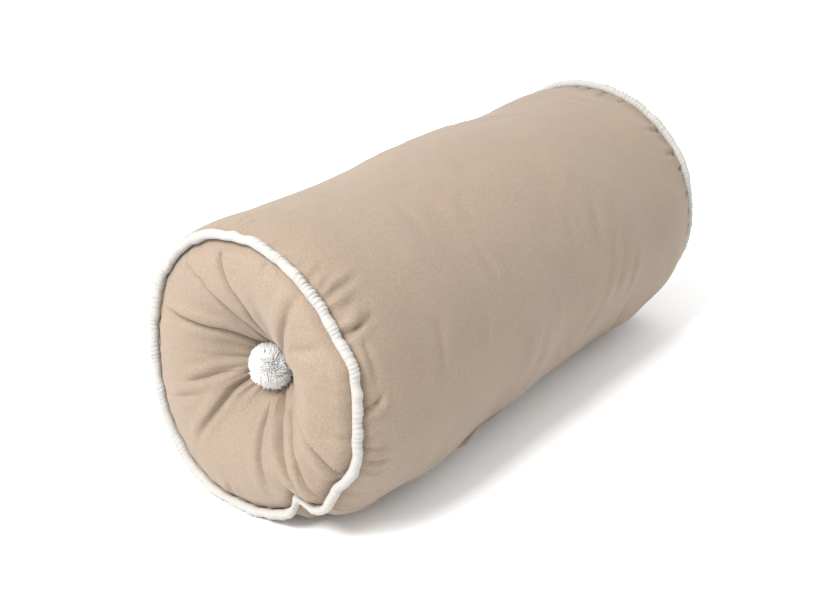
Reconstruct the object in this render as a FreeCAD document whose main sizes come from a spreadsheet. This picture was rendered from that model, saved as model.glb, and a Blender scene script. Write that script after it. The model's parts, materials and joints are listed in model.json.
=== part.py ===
import FreeCAD, Part
import math
import os

import Sketcher
from FreeCAD import Placement, Rotation, Vector

# A bolster pillow: a stuffed roll that lies along X on its own weight.
# Origin: on the floor, under the middle of the roll. +X along the roll, +Z up.
# The front end is at -X. All sizes are in millimetres.

doc = FreeCAD.newDocument("bolster_pillow")

# ---------------------------------------------------------------- sizes

DIMENSIONS = [
    # the roll: a flat foot, two soft corners and a round back
    ("axis_height", 104.7, "height of the roll's axis above the floor"),
    ("edge_radius", 97.2, "round back of the cloth where it meets the piping"),
    ("edge_corner", 60.0, "soft corner there"),
    ("edge_top", 97.0, "top above the axis there"),
    ("edge_foot", 96.6, "foot below the axis there"),
    ("belly_radius", 110.5, "round back in the middle of the roll"),
    ("belly_corner", 101.0, "soft corner in the middle"),
    ("belly_top", 105.0, "top above the axis in the middle"),
    ("belly_foot", 104.7, "foot below the axis in the middle"),
    # where along the roll the outline changes, and how far it has swollen there
    ("seam_station", 232.1, "cloth edge at the piping"),
    ("lip_station", 228.5, "cloth just behind the piping"),
    ("shoulder_station", 215.0, "shoulder of the roll"),
    ("belly_station", 190.0, "from here the roll is full"),
    ("seam_share", 0.0, "no swelling"),
    ("lip_share", 0.08, "a little"),
    ("shoulder_share", 0.7, "most of it"),
    ("belly_share", 1.0, "all of it"),
    # cloths
    ("cover_cloth", 1.0, "thickness of the cover with its nap"),
    ("lining_inset", 1.6, "outside of the insert below the outside of the cover"),
    ("lining_cloth", 0.8, "thickness of the insert's lining"),
    ("filling_inset", 2.7, "outside of the filling below the outside of the cover"),
    ("lining_end", 231.2, "the lining ends here, short of the sewn flange"),
    ("filling_reach", 250.0, "the filling's blank runs on to here, and the end profile trims it"),
    # piping
    ("seam_half_length", 233.0, "piping plane from the middle of the roll"),
    ("piping_ring", 101.0, "radius of the ring that the piping's cord makes"),
    ("piping_radius", 3.5, "piping, outside"),
    ("piping_bore", 2.7, "piping cloth, inside"),
    ("cord_radius", 2.6, "cotton cord inside the piping"),
    ("flange_depth", 6.5, "sewn flange of the piping, from the cord's centre"),
    ("flange_half", 0.6, "half the flange's thickness"),
    # tufted ends: a crown inside the piping, then a funnel down to the pom-pom
    ("crown_ring", 70.0, "crown, distance from the axis"),
    ("crown_radius", 48.0, "crown, radius"),
    ("crown_setback", 39.0, "crown centre, behind the piping plane"),
    ("funnel_angle", 51.6, "slope of the funnel, degrees"),
    ("throat_radius", 8.0, "gathered hole in the middle of the end panel"),
    ("panel_rim", 95.0, "end panel's outer edge"),
    ("lining_throat", 2.5, "needle hole in the insert's end"),
    ("lining_rim", 93.0, "insert end's outer edge"),
    ("needle_hole", 1.5, "hole through the filling"),
    # pom-poms and what holds them
    ("pompom_radius", 14.5, "yarn ball"),
    ("pompom_setback", 25.3, "its centre, behind the piping plane"),
    ("tie_setback", 40.1, "front of the tie, behind the piping plane"),
    ("tie_length", 2.4, "the tie's turns of thread"),
    ("tie_radius", 3.6, "outside of the turns"),
    ("tie_bore", 1.2, "inside of the turns"),
    ("twine_radius", 1.0, "tufting twine"),
    ("gather_setback", 40.9, "gathering thread, behind the piping plane"),
    ("gather_ring", 7.2, "ring that the gathering thread makes"),
    ("gather_radius", 0.6, "the thread and its loops"),
    # concealed zip in the lengthwise seam, low on the -Y flank
    ("zip_angle", 137.0, "seam position from the top, turning towards -Y, degrees"),
    ("slot_length", 320.0, "opening in the seam"),
    ("slot_width", 2.4, "gap between the two folded edges"),
    ("tape_length", 336.0, "zip tape"),
    ("tape_width", 11.8, "zip tape"),
    ("tape_thick", 0.6, "zip tape"),
    ("tape_gap_half", 1.2, "inner edge of each tape from the zip's centre line"),
    ("tape_depth", 3.1, "lower face of the tapes below the cloth"),
    ("coil_length", 310.0, "row of coil teeth"),
    ("coil_width", 1.9, "row of coil teeth"),
    ("coil_thick", 1.2, "row of coil teeth"),
    ("coil_gap_half", 0.9, "inner edge of each row from the centre line"),
    ("stop_length", 2.0, "metal stop"),
    ("stop_gap", 0.5, "stop from the end of the rows"),
    ("slider_rest", 150.0, "slider with the zip closed"),
    ("slider_length", 8.5, "slider"),
    ("slider_half_width", 4.1, "slider, outside of its rails"),
    ("rail_inside", 3.1, "slider, inside of its rails"),
    ("slider_bottom", 5.6, "slider's lowest face below the cloth"),
    ("slider_plate", 1.0, "slider's plate"),
    ("rail_top", 3.4, "top of the rails below the cloth"),
    ("post_length", 4.0, "post through the gap"),
    ("post_width", 1.2, "post through the gap"),
    ("post_top", 0.4, "post above the cloth"),
    ("hinge_height", 1.4, "pull's hinge above the cloth"),
    ("bail_radius", 1.3, "loop on the slider"),
    ("bail_bore", 0.6, "hole in the loop"),
    ("bail_width", 1.3, "loop across the zip"),
    ("pull_pin", 0.45, "pull's pin in the loop"),
    ("pull_tip", 15.0, "centre of the pull's round tip from its pin"),
    ("pull_tip_radius", 3.0, "round tip"),
    ("pull_root_half", 2.0, "half width at the pin"),
    ("pull_heel", 0.5, "pull past the pin"),
    ("pull_thick", 1.0, "pull"),
    ("pull_window", 3.6, "window for the loop, from the pin"),
    ("pull_window_half", 0.95, "half width of that window"),
    ("pull_eye", 1.2, "hole in the tip"),
    ("dent_depth", 6.0, "dent of the insert under the zip, below the cloth"),
    ("dent_length", 340.0, "the dent along the roll"),
]

sheet = doc.addObject("Spreadsheet::Sheet", "Sizes")
for row, (alias, value, meaning) in enumerate(DIMENSIONS, start=1):
    sheet.set(f"A{row}", meaning)
    sheet.set(f"B{row}", str(value))
    sheet.setAlias(f"B{row}", alias)
doc.recompute()


def size(alias):
    """The number that the sheet holds under this name."""
    return float(sheet.get(alias))


# ---------------------------------------------------------------- helpers

FINISHED = []  # objects that are written out, one file each
AXIS = Placement(Vector(0, 0, size("axis_height")), Rotation())
TURNED_ROUND = Rotation(Vector(0, 0, 1), 180)
ENDS = (("front", Rotation()), ("rear", TURNED_ROUND))


def bind(thing, prop, formula):
    thing.setExpression(prop, formula)


def finish(thing, label, placement):
    """Name a sub-part, put it in its place and keep it for the export."""
    thing.Label = label
    thing.Placement = placement
    FINISHED.append(thing)
    return thing


def new_body(name):
    return doc.addObject("PartDesign::Body", name)


def new_sketch(body, plane, name):
    sketch = body.newObject("Sketcher::SketchObject", name)
    for feature in body.Origin.OriginFeatures:
        if feature.Role == plane:
            sketch.AttachmentSupport = (feature, [""])
    sketch.MapMode = "FlatFace"
    return sketch


def line(sketch, start, end):
    return sketch.addGeometry(Part.LineSegment(Vector(*start, 0), Vector(*end, 0)), False)


def arc(sketch, centre, radius, start_degrees, end_degrees):
    circle = Part.Circle(Vector(*centre, 0), Vector(0, 0, 1), radius)
    turn = Part.ArcOfCircle(circle, math.radians(start_degrees), math.radians(end_degrees))
    return sketch.addGeometry(turn, False)


def circle(sketch, centre, radius):
    return sketch.addGeometry(Part.Circle(Vector(*centre, 0), Vector(0, 0, 1), radius), False)


def rule(sketch, *what):
    return sketch.addConstraint(Sketcher.Constraint(*what))


def measure(sketch, name, formula, *what):
    """A dimension of the sketch that follows the sheet."""
    index = rule(sketch, *what)
    sketch.renameConstraint(index, name)
    bind(sketch, f"Constraints.{name}", formula)
    return index


def revolve(body, sketch, name):
    """Turn a profile once round the roll's axis."""
    feature = body.newObject("PartDesign::Revolution", name)
    feature.Profile = sketch
    feature.ReferenceAxis = (sketch, ["H_Axis"])
    feature.Angle = 360.0
    return feature


def pad(body, sketch, name, formula, both_ways=True, reverse=False):
    feature = body.newObject("PartDesign::Pad", name)
    feature.Profile = sketch
    bind(feature, "Length", formula)
    feature.Midplane = both_ways
    feature.Reversed = reverse
    return feature


# ---------------------------------------------------------------- the roll's outline

ORIGIN, START, END, CENTRE = (-1, 1), 1, 2, 3
UPRIGHT_AXIS = -2


def swollen(name, share):
    """A size of the outline between the piping and the middle: its number and its formula."""
    edge, belly = size(f"edge_{name}"), size(f"belly_{name}")
    number = edge + size(share) * (belly - edge)
    return number, f"Sizes.edge_{name} + Sizes.{share} * (Sizes.belly_{name} - Sizes.edge_{name})"


def roll_outline(body, name, side, station, share, inset):
    """One outline across the roll, moved in by the inset, at a station along it."""
    sketch = new_sketch(body, "YZ_Plane", name)
    bind(sketch, "AttachmentOffset.Base.z", f"{side} * Sizes.{station}")
    inset_number, inset_formula = inset
    radius, radius_formula = swollen("radius", share)
    corner, corner_formula = swollen("corner", share)
    top, top_formula = swollen("top", share)
    foot, foot_formula = swollen("foot", share)
    radius, corner, top, foot = (v - inset_number for v in (radius, corner, top, foot))
    back_height = top - radius
    corner_height = corner - foot
    half_foot = math.sqrt((radius - corner) ** 2 - (back_height - corner_height) ** 2)
    lean = math.degrees(math.atan2(corner_height - back_height, half_foot))
    line(sketch, (-half_foot, -foot), (half_foot, -foot))
    arc(sketch, (half_foot, corner_height), corner, -90, lean)
    arc(sketch, (0, back_height), radius, lean, 180 - lean)
    arc(sketch, (-half_foot, corner_height), corner, 180 - lean, 270)
    for one in range(4):
        rule(sketch, "Tangent", one, END, (one + 1) % 4, START)
    rule(sketch, "Symmetric", 0, START, 0, END, UPRIGHT_AXIS)
    measure(sketch, "corner_a", f"{corner_formula} - {inset_formula}", "Radius", 1, corner)
    measure(sketch, "corner_b", f"{corner_formula} - {inset_formula}", "Radius", 3, corner)
    measure(sketch, "back", f"{radius_formula} - {inset_formula}", "Radius", 2, radius)
    measure(sketch, "foot", f"{foot_formula} - {inset_formula}",
            "DistanceY", 0, START, *ORIGIN, foot)
    measure(sketch, "rise", f"({top_formula}) + ({foot_formula}) - ({radius_formula}) - {inset_formula}",
            "DistanceY", 0, START, 2, CENTRE, back_height + foot)
    return sketch


def roll_loft(body, kind, name, inset, ends=("seam_station",)):
    """The roll through its outlines from one end to the other."""
    half = [(station, "seam_share") for station in ends]
    half += [("lip_station", "lip_share"), ("shoulder_station", "shoulder_share"),
             ("belly_station", "belly_share")]
    stations = [(-1, *place) for place in half] + [(1, *place) for place in reversed(half)]
    outlines = [roll_outline(body, f"{name}_outline_{n}", side, station, share, inset)
                for n, (side, station, share) in enumerate(stations)]
    loft = body.newObject(f"PartDesign::{kind}Loft", name)
    loft.Profile = outlines[0]
    loft.Sections = outlines[1:]
    loft.Ruled = True
    return loft


def inset_of(*aliases):
    """Several sizes added up: the number and the formula."""
    return sum(size(a) for a in aliases), "(" + " + ".join(f"Sizes.{a}" for a in aliases) + ")"


NO_INSET = (0.0, "0")
COVER_INSIDE = inset_of("cover_cloth")
LINING_OUTSIDE = inset_of("lining_inset")
LINING_INSIDE = inset_of("lining_inset", "lining_cloth")
FILLING_OUTSIDE = inset_of("filling_inset")


# ---------------------------------------------------------------- the zip's own frame
# Local X runs along the roll, local Z points out of the cloth, and Z = 0 is the cloth's face.

def zip_frame():
    corner = size("belly_corner")
    radius = size("belly_radius")
    corner_height = corner - size("belly_foot")
    back_height = size("belly_top") - radius
    half_foot = math.sqrt((radius - corner) ** 2 - (back_height - corner_height) ** 2)
    angle = math.radians(size("zip_angle"))
    across = -half_foot - corner * math.sin(angle)
    height = size("axis_height") + corner_height + corner * math.cos(angle)
    return Placement(Vector(0, across, height), Rotation(Vector(1, 0, 0), size("zip_angle")))


ZIP = zip_frame()


def zip_box(name, length, width, height, corner):
    """A box in the zip's frame from formulas; corner is its lowest corner as numbers."""
    box = doc.addObject("Part::Box", name)
    bind(box, "Length", length)
    bind(box, "Width", width)
    bind(box, "Height", height)
    box.Placement = ZIP * Placement(Vector(*corner), Rotation())
    return box


# ---------------------------------------------------------------- cover

def make_body_panel():
    """The tan tube of the cover, open along its zip."""
    tube = new_body("cover_tube")
    roll_loft(tube, "Additive", "cover_outside", NO_INSET)
    roll_loft(tube, "Subtractive", "cover_inside", COVER_INSIDE)
    tube.Placement = AXIS
    reach = 3 * size("cover_cloth")
    slot = zip_box("zip_slot", "Sizes.slot_length", "Sizes.slot_width", "6 * Sizes.cover_cloth",
                   (-size("slot_length") / 2, -size("slot_width") / 2, -reach))
    panel = doc.addObject("Part::Cut", "open_tube")
    panel.Base = tube
    panel.Tool = slot
    FINISHED.append(panel)
    panel.Label = "body_panel"


def end_profile(sketch, outside, inside, throat, rim):
    """Section of a tufted end: crown and funnel, between two insets from the crown radius."""
    turn = size("funnel_angle")
    sin_turn, cos_turn = math.sin(math.radians(turn)), math.cos(math.radians(turn))
    middle = (size("crown_setback") - size("seam_half_length"), size("crown_ring"))
    outer_radius = size("crown_radius") - outside[0]
    inner_radius = size("crown_radius") - inside[0]
    rim_rise = math.degrees(math.asin((size(rim) - middle[1]) / outer_radius))

    def on_crown(radius, degrees):
        return (middle[0] + radius * math.cos(math.radians(degrees)),
                middle[1] + radius * math.sin(math.radians(degrees)))

    foot_outer = on_crown(outer_radius, 180 + turn)
    foot_inner = on_crown(inner_radius, 180 + turn)
    run = (foot_outer[1] - size(throat)) / cos_turn
    throat_outer = (foot_outer[0] + run * sin_turn, size(throat))
    throat_inner = (foot_inner[0] + run * sin_turn, foot_inner[1] - run * cos_turn)

    crown_out = arc(sketch, middle, outer_radius, 180 - rim_rise, 180 + turn)
    funnel_out = line(sketch, foot_outer, throat_outer)
    throat_edge = line(sketch, throat_outer, throat_inner)
    funnel_in = line(sketch, throat_inner, foot_inner)
    crown_in = arc(sketch, middle, inner_radius, 180 - rim_rise, 180 + turn)
    rim_edge = line(sketch, on_crown(inner_radius, 180 - rim_rise), on_crown(outer_radius, 180 - rim_rise))

    rule(sketch, "Coincident", crown_out, CENTRE, crown_in, CENTRE)
    rule(sketch, "Tangent", crown_out, END, funnel_out, START)
    rule(sketch, "Coincident", funnel_out, END, throat_edge, START)
    rule(sketch, "Coincident", throat_edge, END, funnel_in, START)
    rule(sketch, "Tangent", funnel_in, END, crown_in, END)
    rule(sketch, "Coincident", crown_in, START, rim_edge, START)
    rule(sketch, "Coincident", rim_edge, END, crown_out, START)
    rule(sketch, "Perpendicular", throat_edge, funnel_out)
    rule(sketch, "Parallel", funnel_in, funnel_out)
    rule(sketch, "PointOnObject", crown_out, CENTRE, rim_edge)
    measure(sketch, "setback", "Sizes.seam_half_length - Sizes.crown_setback",
            "DistanceX", crown_out, CENTRE, *ORIGIN, -middle[0])
    measure(sketch, "ring", "Sizes.crown_ring", "DistanceY", *ORIGIN, crown_out, CENTRE, middle[1])
    measure(sketch, "outer", f"Sizes.crown_radius - {outside[1]}", "Radius", crown_out, outer_radius)
    measure(sketch, "inner", f"Sizes.crown_radius - {inside[1]}", "Radius", crown_in, inner_radius)
    measure(sketch, "slope", "(Sizes.funnel_angle - 90) * 1 deg",
            "Angle", funnel_out, math.radians(turn - 90))
    measure(sketch, "throat", f"Sizes.{throat}",
            "DistanceY", *ORIGIN, funnel_out, END, size(throat))
    measure(sketch, "rim", f"Sizes.{rim}", "DistanceY", *ORIGIN, crown_out, START, size(rim))


def make_end_shells(label, outside, inside, throat, rim):
    """The same gathered disc at both ends."""
    for end, turned in ENDS:
        body = new_body(f"{label}_{end}_body")
        sketch = new_sketch(body, "XZ_Plane", f"{label}_{end}_profile")
        end_profile(sketch, outside, inside, throat, rim)
        revolve(body, sketch, f"{label}_{end}_turn")
        finish(body, f"{label}_{end}", AXIS * Placement(Vector(), turned))


def make_piping():
    """Bias-cut cloth round a cotton cord, with its sewn flange pointing inwards."""
    cord_at = (-size("seam_half_length"), size("piping_ring"))
    radius, half, depth = size("piping_radius"), size("flange_half"), size("flange_depth")
    nip = math.degrees(math.asin(half / radius))
    meet = math.sqrt(radius ** 2 - half ** 2)
    for end, turned in ENDS:
        place = AXIS * Placement(Vector(), turned)
        cover = new_body(f"piping_{end}_body")
        sketch = new_sketch(cover, "XZ_Plane", f"piping_{end}_profile")
        round_part = arc(sketch, cord_at, radius, nip - 90, 270 - nip)
        left = line(sketch, (cord_at[0] - half, cord_at[1] - meet), (cord_at[0] - half, cord_at[1] - depth))
        foot = line(sketch, (cord_at[0] - half, cord_at[1] - depth), (cord_at[0] + half, cord_at[1] - depth))
        right = line(sketch, (cord_at[0] + half, cord_at[1] - depth), (cord_at[0] + half, cord_at[1] - meet))
        bore = circle(sketch, cord_at, size("piping_bore"))
        for one, other in ((round_part, left), (left, foot), (foot, right), (right, round_part)):
            rule(sketch, "Coincident", one, END, other, START)
        rule(sketch, "Vertical", left)
        rule(sketch, "Horizontal", foot)
        rule(sketch, "Vertical", right)
        rule(sketch, "Coincident", bore, CENTRE, round_part, CENTRE)
        measure(sketch, "plane", "Sizes.seam_half_length",
                "DistanceX", round_part, CENTRE, *ORIGIN, -cord_at[0])
        measure(sketch, "ring", "Sizes.piping_ring",
                "DistanceY", *ORIGIN, round_part, CENTRE, cord_at[1])
        measure(sketch, "outside", "Sizes.piping_radius", "Radius", round_part, radius)
        measure(sketch, "bore", "Sizes.piping_bore", "Radius", bore, size("piping_bore"))
        measure(sketch, "half_a", "Sizes.flange_half", "DistanceX", left, START, round_part, CENTRE, half)
        measure(sketch, "half_b", "Sizes.flange_half", "DistanceX", round_part, CENTRE, right, END, half)
        measure(sketch, "depth", "Sizes.flange_depth", "DistanceY", foot, START, round_part, CENTRE, depth)
        revolve(cover, sketch, f"piping_{end}_turn")
        finish(cover, f"piping_cover_{end}", place)
        ring(f"piping_cord_{end}", turned, "Sizes.piping_ring", "Sizes.cord_radius", size("seam_half_length"))


def ring(label, turned, ring_formula, thread_formula, from_middle):
    """A closed ring round the roll's axis near one end."""
    hoop = doc.addObject("Part::Torus", label)
    bind(hoop, "Radius1", ring_formula)
    bind(hoop, "Radius2", thread_formula)
    stand = Placement(Vector(-from_middle, 0, 0), Rotation(Vector(0, 1, 0), 90))
    finish(hoop, label, AXIS * Placement(Vector(), turned) * stand)


# ---------------------------------------------------------------- pom-poms and tufting

def make_tufting():
    plane = size("seam_half_length")
    for end, turned in ENDS:
        ball = doc.addObject("Part::Sphere", f"pompom_{end}")
        bind(ball, "Radius", "Sizes.pompom_radius")
        centre = Vector(size("pompom_setback") - plane, 0, 0)
        finish(ball, f"pompom_{end}", AXIS * Placement(Vector(), turned) * Placement(centre, Rotation()))

        body = new_body(f"tie_{end}_body")
        sketch = new_sketch(body, "YZ_Plane", f"tie_{end}_profile")
        bind(sketch, "AttachmentOffset.Base.z", "Sizes.tie_setback - Sizes.seam_half_length")
        outer = circle(sketch, (0, 0), size("tie_radius"))
        inner = circle(sketch, (0, 0), size("tie_bore"))
        for one in (outer, inner):
            rule(sketch, "Coincident", one, CENTRE, *ORIGIN)
        measure(sketch, "outside", "Sizes.tie_radius", "Radius", outer, size("tie_radius"))
        measure(sketch, "bore", "Sizes.tie_bore", "Radius", inner, size("tie_bore"))
        pad(body, sketch, f"tie_{end}_turns", "Sizes.tie_length", both_ways=False)
        finish(body, f"pompom_tie_{end}", AXIS * Placement(Vector(), turned))
        ring(f"gathering_thread_{end}", turned, "Sizes.gather_ring", "Sizes.gather_radius",
             plane - size("gather_setback"))

    twine = doc.addObject("Part::Cylinder", "twine")
    bind(twine, "Radius", "Sizes.twine_radius")
    bind(twine, "Height", "2 * (Sizes.seam_half_length - Sizes.tie_setback)")
    along = Placement(Vector(size("tie_setback") - plane, 0, 0), Rotation(Vector(0, 1, 0), 90))
    finish(twine, "tufting_twine", AXIS * along)


# ---------------------------------------------------------------- zip

def make_zip_rows():
    """Tapes, coil rows and stops: they stay with the cover."""
    tape_low = -size("tape_depth")
    coil_low = tape_low - size("coil_thick")
    coil_end = size("coil_length") / 2
    widths = {"upper": 1, "lower": -1}
    for name, way in widths.items():
        tape_from = size("tape_gap_half") if way > 0 else -size("tape_gap_half") - size("tape_width")
        tape = zip_box(f"tape_{name}", "Sizes.tape_length", "Sizes.tape_width", "Sizes.tape_thick",
                       (-size("tape_length") / 2, tape_from, tape_low))
        finish(tape, f"zip_tape_{name}", tape.Placement)
        coil_from = size("coil_gap_half") if way > 0 else -size("coil_gap_half") - size("coil_width")
        coil = zip_box(f"coil_{name}", "Sizes.coil_length", "Sizes.coil_width", "Sizes.coil_thick",
                       (-coil_end, coil_from, coil_low))
        finish(coil, f"zip_coil_{name}", coil.Placement)
    stop_half = size("coil_gap_half") + size("coil_width")
    near = coil_end + size("stop_gap")
    for name, start in (("zip_top_stop", near), ("zip_bottom_stop", -near - size("stop_length"))):
        stop = zip_box(name, "Sizes.stop_length", "2 * (Sizes.coil_gap_half + Sizes.coil_width)",
                       "Sizes.coil_thick", (start, -stop_half, coil_low))
        finish(stop, name, stop.Placement)


def polygon(sketch, points):
    """Straight edges round a closed outline, joined at their ends."""
    first = line(sketch, points[0], points[1])
    for n in range(1, len(points)):
        line(sketch, points[n], points[(n + 1) % len(points)])
        rule(sketch, "Coincident", first + n - 1, END, first + n, START)
    rule(sketch, "Coincident", first + len(points) - 1, END, first, START)
    return first


def square_up(sketch, first, count):
    """Every second edge is level and the rest are upright."""
    for n in range(count):
        rule(sketch, "Horizontal" if n % 2 == 0 else "Vertical", first + n)


def make_slider():
    """Slider: a channel under the two rows, a post through the gap and a loop for the pull."""
    body = new_body("slider_body")
    outer, inner = size("slider_half_width"), size("rail_inside")
    bottom, top = -size("slider_bottom"), -size("rail_top")
    floor = bottom + size("slider_plate")
    sketch = new_sketch(body, "YZ_Plane", "slider_channel_profile")
    points = [(-outer, bottom), (outer, bottom), (outer, top), (inner, top),
              (inner, floor), (-inner, floor), (-inner, top), (-outer, top)]
    first = polygon(sketch, points)
    square_up(sketch, first, len(points))
    rule(sketch, "Equal", first + 1, first + 7)
    measure(sketch, "left", "Sizes.slider_half_width", "DistanceX", first, START, *ORIGIN, outer)
    measure(sketch, "right", "Sizes.slider_half_width", "DistanceX", *ORIGIN, first, END, outer)
    measure(sketch, "inside_right", "Sizes.rail_inside",
            "DistanceX", *ORIGIN, first + 4, START, inner)
    measure(sketch, "inside_left", "Sizes.rail_inside",
            "DistanceX", first + 4, END, *ORIGIN, inner)
    measure(sketch, "low", "Sizes.slider_bottom", "DistanceY", first, START, *ORIGIN, -bottom)
    measure(sketch, "plate", "Sizes.slider_plate",
            "DistanceY", first, END, first + 4, START, floor - bottom)
    measure(sketch, "rail", "Sizes.rail_top", "DistanceY", first + 1, END, *ORIGIN, -top)
    pad(body, sketch, "slider_channel", "Sizes.slider_length")

    post = new_sketch(body, "XY_Plane", "slider_post_profile")
    bind(post, "AttachmentOffset.Base.z", "Sizes.slider_plate - Sizes.slider_bottom")
    half_x, half_y = size("post_length") / 2, size("post_width") / 2
    corners = [(-half_x, -half_y), (half_x, -half_y), (half_x, half_y), (-half_x, half_y)]
    first = polygon(post, corners)
    square_up(post, first, len(corners))
    rule(post, "Symmetric", first, START, first + 2, START, *ORIGIN)
    measure(post, "long", "Sizes.post_length", "DistanceX", first, START, first, END, 2 * half_x)
    measure(post, "wide", "Sizes.post_width", "DistanceY", first + 1, START, first + 1, END, 2 * half_y)
    pad(body, post, "slider_post", "Sizes.slider_bottom - Sizes.slider_plate + Sizes.post_top",
        both_ways=False)

    bail = new_sketch(body, "XZ_Plane", "slider_bail_profile")
    loop = circle(bail, (0, size("hinge_height")), size("bail_radius"))
    hole = circle(bail, (0, size("hinge_height")), size("bail_bore"))
    rule(bail, "PointOnObject", loop, CENTRE, UPRIGHT_AXIS)
    rule(bail, "Coincident", hole, CENTRE, loop, CENTRE)
    measure(bail, "height", "Sizes.hinge_height",
            "DistanceY", *ORIGIN, loop, CENTRE, size("hinge_height"))
    measure(bail, "loop", "Sizes.bail_radius", "Radius", loop, size("bail_radius"))
    measure(bail, "hole", "Sizes.bail_bore", "Radius", hole, size("bail_bore"))
    pad(body, bail, "slider_bail", "Sizes.bail_width")
    finish(body, "zip_slider", ZIP * Placement(Vector(size("slider_rest"), 0, 0), Rotation()))


def make_pull():
    """Pull: a flat drop with a window at its pin and an eye at its tip, lying towards -X."""
    body = new_body("pull_body")
    tip, tip_radius = size("pull_tip"), size("pull_tip_radius")
    heel, root = size("pull_heel"), size("pull_root_half")
    sketch = new_sketch(body, "XY_Plane", "pull_outline")
    steep = 86.0
    touch = (-tip + tip_radius * math.cos(math.radians(steep)), tip_radius * math.sin(math.radians(steep)))
    end = arc(sketch, (-tip, 0), tip_radius, steep, 360 - steep)
    lower = line(sketch, (touch[0], -touch[1]), (heel, -root))
    back = line(sketch, (heel, -root), (heel, root))
    upper = line(sketch, (heel, root), touch)
    eye = circle(sketch, (-tip, 0), size("pull_eye"))
    rule(sketch, "Tangent", end, END, lower, START)
    rule(sketch, "Coincident", lower, END, back, START)
    rule(sketch, "Coincident", back, END, upper, START)
    rule(sketch, "Tangent", upper, END, end, START)
    rule(sketch, "Coincident", eye, CENTRE, end, CENTRE)
    rule(sketch, "PointOnObject", end, CENTRE, -1)
    rule(sketch, "Symmetric", back, START, back, END, -1)
    measure(sketch, "tip", "Sizes.pull_tip", "DistanceX", end, CENTRE, *ORIGIN, tip)
    measure(sketch, "round", "Sizes.pull_tip_radius", "Radius", end, tip_radius)
    measure(sketch, "heel", "Sizes.pull_heel", "DistanceX", *ORIGIN, back, START, heel)
    measure(sketch, "root", "2 * Sizes.pull_root_half",
            "DistanceY", back, START, back, END, 2 * root)
    measure(sketch, "eye", "Sizes.pull_eye", "Radius", eye, size("pull_eye"))
    pad(body, sketch, "pull_plate", "Sizes.pull_thick")
    doc.recompute()
    whole = body.Shape.Volume

    window = new_sketch(body, "XY_Plane", "pull_window_outline")
    half, deep, past = size("pull_window_half"), size("pull_window"), 2 * heel
    corners = [(-deep, -half), (past, -half), (past, half), (-deep, half)]
    first = polygon(window, corners)
    square_up(window, first, len(corners))
    measure(window, "low", "Sizes.pull_window_half", "DistanceY", first, START, *ORIGIN, half)
    measure(window, "high", "Sizes.pull_window_half", "DistanceY", *ORIGIN, first + 1, END, half)
    measure(window, "deep", "Sizes.pull_window", "DistanceX", first, START, *ORIGIN, deep)
    measure(window, "past", "2 * Sizes.pull_heel", "DistanceX", *ORIGIN, first, END, past)
    cut = body.newObject("PartDesign::Pocket", "pull_window_cut")
    cut.Profile = window
    bind(cut, "Length", "2 * Sizes.pull_thick")
    cut.Midplane = True
    doc.recompute()
    if not body.Shape.Volume < whole:
        raise RuntimeError("the pull's window cut nothing")

    pin = new_sketch(body, "XZ_Plane", "pull_pin_profile")
    bar = circle(pin, (0, 0), size("pull_pin"))
    rule(pin, "Coincident", bar, CENTRE, *ORIGIN)
    measure(pin, "pin", "Sizes.pull_pin", "Radius", bar, size("pull_pin"))
    pad(body, pin, "pull_pin_bar", "2 * Sizes.pull_root_half")
    hinge = Vector(size("slider_rest"), 0, size("hinge_height"))
    finish(body, "zip_pull", ZIP * Placement(hinge, Rotation()))


# ---------------------------------------------------------------- insert

def dent(name, below):
    """The space over the insert's flat dent under the zip, deeper by below."""
    deep = size("dent_depth") + below
    length = size("dent_length") + 2 * below
    half = size("belly_corner")
    return zip_box(name, f"Sizes.dent_length + {2 * below}", "2 * Sizes.belly_corner",
                   f"Sizes.dent_depth + {below}", (-length / 2, -half, -deep))


def cut(name, base, tool):
    result = doc.addObject("Part::Cut", name)
    result.Base = base
    result.Tool = tool
    return result


def make_insert_body():
    """The lining's tube, dented where the zip lies."""
    outside = new_body("lining_outside")
    roll_loft(outside, "Additive", "lining_outer_roll", LINING_OUTSIDE, ("lining_end",))
    outside.Placement = AXIS
    inside = new_body("lining_inside")
    roll_loft(inside, "Additive", "lining_inner_roll", LINING_INSIDE, ("lining_end",))
    inside.Placement = AXIS
    blank = cut("lining_blank", outside, dent("lining_dent", 0.0))
    hollow = cut("lining_hollow", inside, dent("lining_dent_inside", size("lining_cloth")))
    tube = cut("lining_tube", blank, hollow)
    FINISHED.append(tube)
    tube.Label = "insert_body"


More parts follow.
